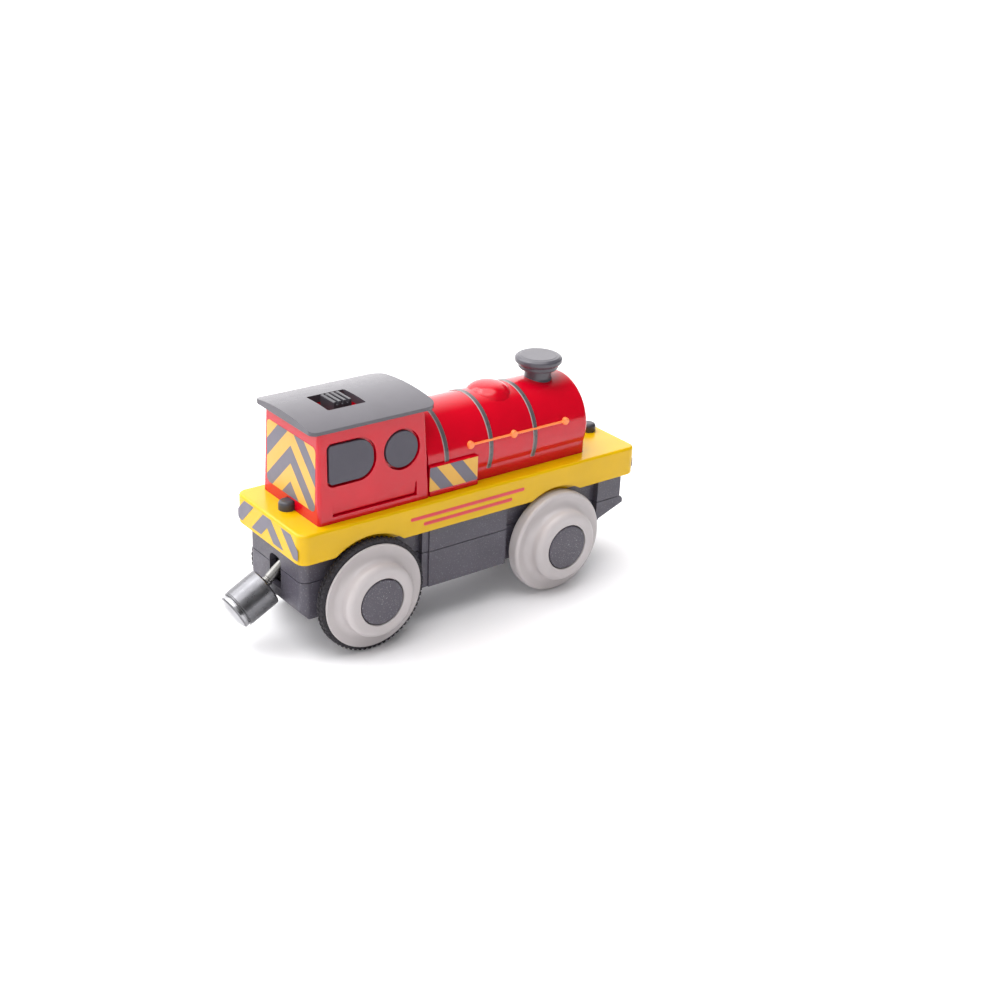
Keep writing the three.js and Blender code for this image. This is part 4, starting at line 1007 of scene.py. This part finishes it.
def running_gear():
    cap = rounded([
        (0, HUB_FACE - 2.3), (HUB_CAP_RADIUS, HUB_FACE - 2.3), (HUB_CAP_RADIUS, HUB_FACE - 0.02, 0.35),
        (3.4, HUB_FACE + 0.1, 2.0), (0, HUB_FACE + 0.14),
    ], 6, closed=False)
    bore, seat, flange = AXLE_RADIUS + 0.08, NARROW + 0.02, NARROW + 0.7
    bush = rounded([
        (bore, 9.7), (2.1, 9.7), (2.1, seat), (3, seat, 0.1), (3, flange, 0.15), (bore, flange, 0.1),
    ], 3)
    for end, axle in (("rear", REAR_AXLE), ("front", FRONT_AXLE)):
        body = f"{end}_wheelset"
        reach = span(f"{end}_axle")[1].y
        radius = AXLE_RADIUS - 0.02
        shaft = rounded([(0, -reach), (radius, -reach, 0.2), (radius, reach, 0.2), (0, reach)], 3, False)
        piece(f"{end}_axle_rod", lathe(shaft, "y", axle, 1, 48), STEEL, body, [f"{end}_axle"])
        is_rear = end == "rear"
        if is_rear:
            profile = wheel_profile(REAR_FLANGE_RADIUS, TREAD_SEAT)
        else:
            profile = wheel_profile(FRONT_RADIUS, 0)
        for hand, side in SIDES.items():
            corner = f"{end}_{hand}"
            place = (axle.x, 0, axle.z)
            disc = lathe(profile, "y", place, side, 128)
            piece(f"{corner}_disc", disc, WHEEL_GREY, body, [f"{corner}_wheel"], smooth=50)
            hub = lathe(cap, "y", place, side)
            piece(f"{corner}_cap", hub, CAP_GREY, body, [f"{corner}_hub_cap"], smooth=50)
            if is_rear:
                tread = tyre(axle, side)
                piece(f"{corner}_tread", tread, RUBBER, body, [f"{corner}_tyre"], smooth=30)
            collar = lathe(bush, "y", place, side, 48)
            piece(f"{corner}_collar", collar, GEAR_WHITE, ROOT, [f"{corner}_bush"])


# ---- coupling ----
def posed(bm, matrix):
    bmesh.ops.transform(bm, matrix=matrix, verts=bm.verts)
    return bm


def coupling():
    """Arm and head are made along X, tail forwards, and turned to their rest angles about Y."""
    arm = Matrix.Translation(PIVOT) @ Matrix.Rotation(-ARM_DROOP, 4, "Y")
    ball = arm @ Vector((-ARM_LENGTH, 0, 0))
    head = Matrix.Translation(ball) @ Matrix.Rotation(-HEAD_DROOP, 4, "Y")

    radius, groove = 1.22, 1.1
    shaft = [(0, -11.95), (0.9, -11.75, 0.6), (1.68, -10.9, 0.9), (1.68, -9.7, 0.9), (radius, -8.9, 0.3)]
    for start in (-7.0, -6.1):
        shaft += [
            (radius, start, 0.05), (groove, start + 0.1, 0.05),
            (groove, start + 0.4, 0.05), (radius, start + 0.5, 0.05),
        ]
    shaft += [(radius, 0.6, 0.6), (0.6, 1.2, 0.4), (0, radius)]
    shaft = rounded(shaft, 4, closed=False)
    piece("coupling_rod", posed(lathe(shaft, "x", segments=64), arm), STEEL, "arm", smooth=40)
    pin = lathe([(0, -1.9), (0.5, -1.9), (0.5, 1.9), (0, 1.9)], "y", PIVOT, 1, 24)
    piece("coupling_cross_pin", pin, STEEL, "arm", ["coupling_shaft"])

    barrel = rounded([
        (3.2, 3.0, 0.15), (4.5, 3.0, 0.45), (4.5, -4.55, 0.1), (4.38, -4.65, 0.08), (4.38, -4.8, 0.08),
        (4.5, -4.9, 0.05), (4.5, -5.0, 0.08), (3.9, -5.0), (3.9, -1.9), (2.0, -1.9), (2.0, 0.9),
    ], 5)
    piece(
        "barrel_shell", posed(lathe(barrel, "x", segments=112), head), BARREL_METAL,
        "coupling_head", ["magnet_barrel"], smooth=45,
    )
    rim = MAGNET_EDGE_X
    face = rounded([
        (0, rim - 0.98), (2.2, rim - 0.74, 4.0), (3.85, rim - 0.12, 0.2), (4.2, rim + 0.2, 0.15),
        (4.2, -5.35, 0.1), (4.0, -5.28, 0.05), (4.0, -5.08, 0.03), (3.75, -5.08), (3.75, -2.1), (0, -2.1),
    ], 5, closed=False)
    disc = lathe(face, "x", segments=112)
    # The rounded rim faces between the face and the side wall take the dark barrel metal: painted shade, a
    # dark outline standing in for the shadowed groove round the magnet and its far edge.
    for each in disc.faces:
        each.material_index = 1 if 0.5 < abs(each.normal.x) < 0.93 else 0
    piece(
        "magnet_disc", posed(disc, head), [CHROME, BARREL_METAL],
        "coupling_head", ["magnet"], smooth=45,
    )


# ---- the frame's own nodes that stay ----
KEPT = {
    "battery": SLEEVE, "contact_positive": BRASS, "contact_negative": BRASS, "contact_spring": STEEL,
    "motor": STEEL, "motor_mount": GEAR_WHITE, "motor_worm": BRASS, "switch_body": BAND_GREY,
    "switch_board": BOARD_GREEN, "idler_shaft": STEEL, "idler_gear": GEAR_WHITE, "worm_wheel": GEAR_WHITE,
    "axle_gear": GEAR_WHITE, "coupling_yoke": STEEL,
}


def kept_nodes():
    for node, material in KEPT.items():
        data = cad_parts[node].data
        data.materials.clear()
        data.materials.append(material)


def switch_knob():
    """The sliding switch's ribbed knob."""
    low, high = span("switch_knob")
    x, half_y = (low.x + high.x) / 2, (high.y - low.y) / 2
    grooves = KNOB_GROOVES
    outline = [(low.x, KNOB_FOOT_Z, 0.1), (low.x, high.z, 0.3)]
    for i in range(grooves["count"]):
        centre = x + grooves["first_x"] + grooves["pitch"] * i
        outline += [
            (centre - 0.3, high.z, 0.15), (centre - 0.15, grooves["z"], 0.1),
            (centre + 0.15, grooves["z"], 0.1), (centre + 0.3, high.z, 0.15),
        ]
    outline += [(high.x, high.z, 0.3), (high.x, KNOB_FOOT_Z, 0.1)]
    head = bevelled(working(prism(rounded(outline, 3), "y", -half_y, half_y)), 0.15, 2, 50)
    piece("knob_head", head, KNOB_GREY, "knob", ["switch_knob"])
    half = KNOB_STEM["half"]
    stem = box(x - half, x + half, -half, half, low.z, KNOB_STEM["z1"])
    piece("knob_stem", stem, KNOB_GREY, "knob")


# ---- stage ----
CAMERA_FROM_REAR_AXLE = Vector((-165.41, -266.82, 176.63))
CAMERA_HEADING = 51.52
CAMERA_DIP = 24.82
CAMERA_ROLL = 2.70
CAMERA_LENS = 55.51
KEY_FROM = (-0.42, 0.52, 0.74)
KEY_SPREAD = 50
KEY_POWER = 1.75
FILL_PLACE = (-0.5, -0.5, 0.32)
FILL_SIZE = 0.5
FILL_POWER = 0.28
# Bright parts of the room: direction, cosine where each starts and where it is full, and strength.
SKY = (
    ((0, 0, 1), -1.2, -1.1, 0.09),
    ((-0.1, 0, 1), 0.84, 0.93, 3.2),
    ((0.3, 0.95, 0.2), 0.35, 0.93, 2.0),
    ((-0.8, -0.1, 0.4), 0.1, 0.95, 0.9),
)


def camera():
    data = bpy.data.cameras.new("camera")
    data.lens = CAMERA_LENS
    data.sensor_width = 36
    data.clip_start = 0.01
    thing = bpy.data.objects.new("camera", data)
    bpy.context.scene.collection.objects.link(thing)
    place = Vector((REAR_AXLE.x, 0, 0)) + CAMERA_FROM_REAR_AXLE
    thing.matrix_world = (
        Matrix.Translation(place * MM)
        @ Matrix.Rotation(math.radians(CAMERA_HEADING - 90), 4, "Z")
        @ Matrix.Rotation(math.radians(90 - CAMERA_DIP), 4, "X")
        @ Matrix.Rotation(math.radians(CAMERA_ROLL), 4, "Z")
    )
    bpy.context.scene.camera = thing


def lamp(name, place, size, power):
    data = bpy.data.lights.new(name, "AREA")
    data.shape = "DISK"
    data.size = size
    data.energy = power
    thing = bpy.data.objects.new(name, data)
    bpy.context.scene.collection.objects.link(thing)
    thing.location = place
    aim = Vector((0, 0, 0.02)) - Vector(place)
    thing.rotation_euler = aim.to_track_quat("-Z", "Y").to_euler()


def studio():
    floor = bpy.data.objects.new("floor", bpy.data.meshes.new("floor"))
    bm = bmesh.new()
    bmesh.ops.create_grid(bm, x_segments=1, y_segments=1, size=6)
    bm.to_mesh(floor.data)
    bm.free()
    bpy.context.scene.collection.objects.link(floor)
    paper = bpy.data.materials.new("paper")
    tree, shader = nodes_of(paper)
    tone = spread(tree, noise(tree, 0.004, 2), 0, 1)
    tree.links.new(mixed(tree, tone, (0.9, 0.9, 0.91), (0.92, 0.92, 0.93)), shader.inputs["Base Color"])
    shader.inputs["Roughness"].default_value = 0.9
    floor.data.materials.append(paper)

    world = bpy.data.worlds.new("studio")
    bpy.context.scene.world = world
    world.use_nodes = True
    tree = world.node_tree
    direction = tree.nodes.new("ShaderNodeTexCoord")
    total = None
    for towards, start, stop, strength in SKY:
        aim = tree.nodes.new("ShaderNodeVectorMath")
        aim.operation = "DOT_PRODUCT"
        aim.inputs[1].default_value = Vector(towards).normalized()
        tree.links.new(direction.outputs["Generated"], aim.inputs[0])
        lobe = tree.nodes.new("ShaderNodeMapRange")
        lobe.interpolation_type = "SMOOTHSTEP"
        lobe.inputs["From Min"].default_value = start
        lobe.inputs["From Max"].default_value = stop
        lobe.inputs["To Max"].default_value = strength
        tree.links.new(aim.outputs["Value"], lobe.inputs["Value"])
        if total is None:
            total = lobe.outputs["Result"]
            continue
        added = tree.nodes.new("ShaderNodeMath")
        added.operation = "ADD"
        tree.links.new(total, added.inputs[0])
        tree.links.new(lobe.outputs["Result"], added.inputs[1])
        total = added.outputs["Value"]
    background = tree.nodes["Background"]
    tree.links.new(total, background.inputs["Strength"])
    background.inputs["Color"].default_value = (1, 0.99, 1, 1)

    sun = bpy.data.lights.new("key", "SUN")
    sun.energy = KEY_POWER
    sun.angle = math.radians(KEY_SPREAD)
    key = bpy.data.objects.new("key", sun)
    bpy.context.scene.collection.objects.link(key)
    key.rotation_euler = Vector(KEY_FROM).to_track_quat("Z", "Y").to_euler()
    lamp("fill", FILL_PLACE, FILL_SIZE, FILL_POWER)
    view = bpy.context.scene.view_settings
    view.view_transform = "Standard"


camera()
deck()
deck_prints()
cab()
cab_trim()
roof()
boiler()
for number, place_x in enumerate(BANDS):
    band(f"boiler_band_{number + 1}", place_x)
dome()
for hand_name, hand_side in SIDES.items():
    handrail(hand_name, hand_side)
stripe_box()
smokebox_door()
chimney()
deck_studs()
chassis()
battery_cover()
screws()
running_gear()
coupling()
kept_nodes()
switch_knob()
studio()
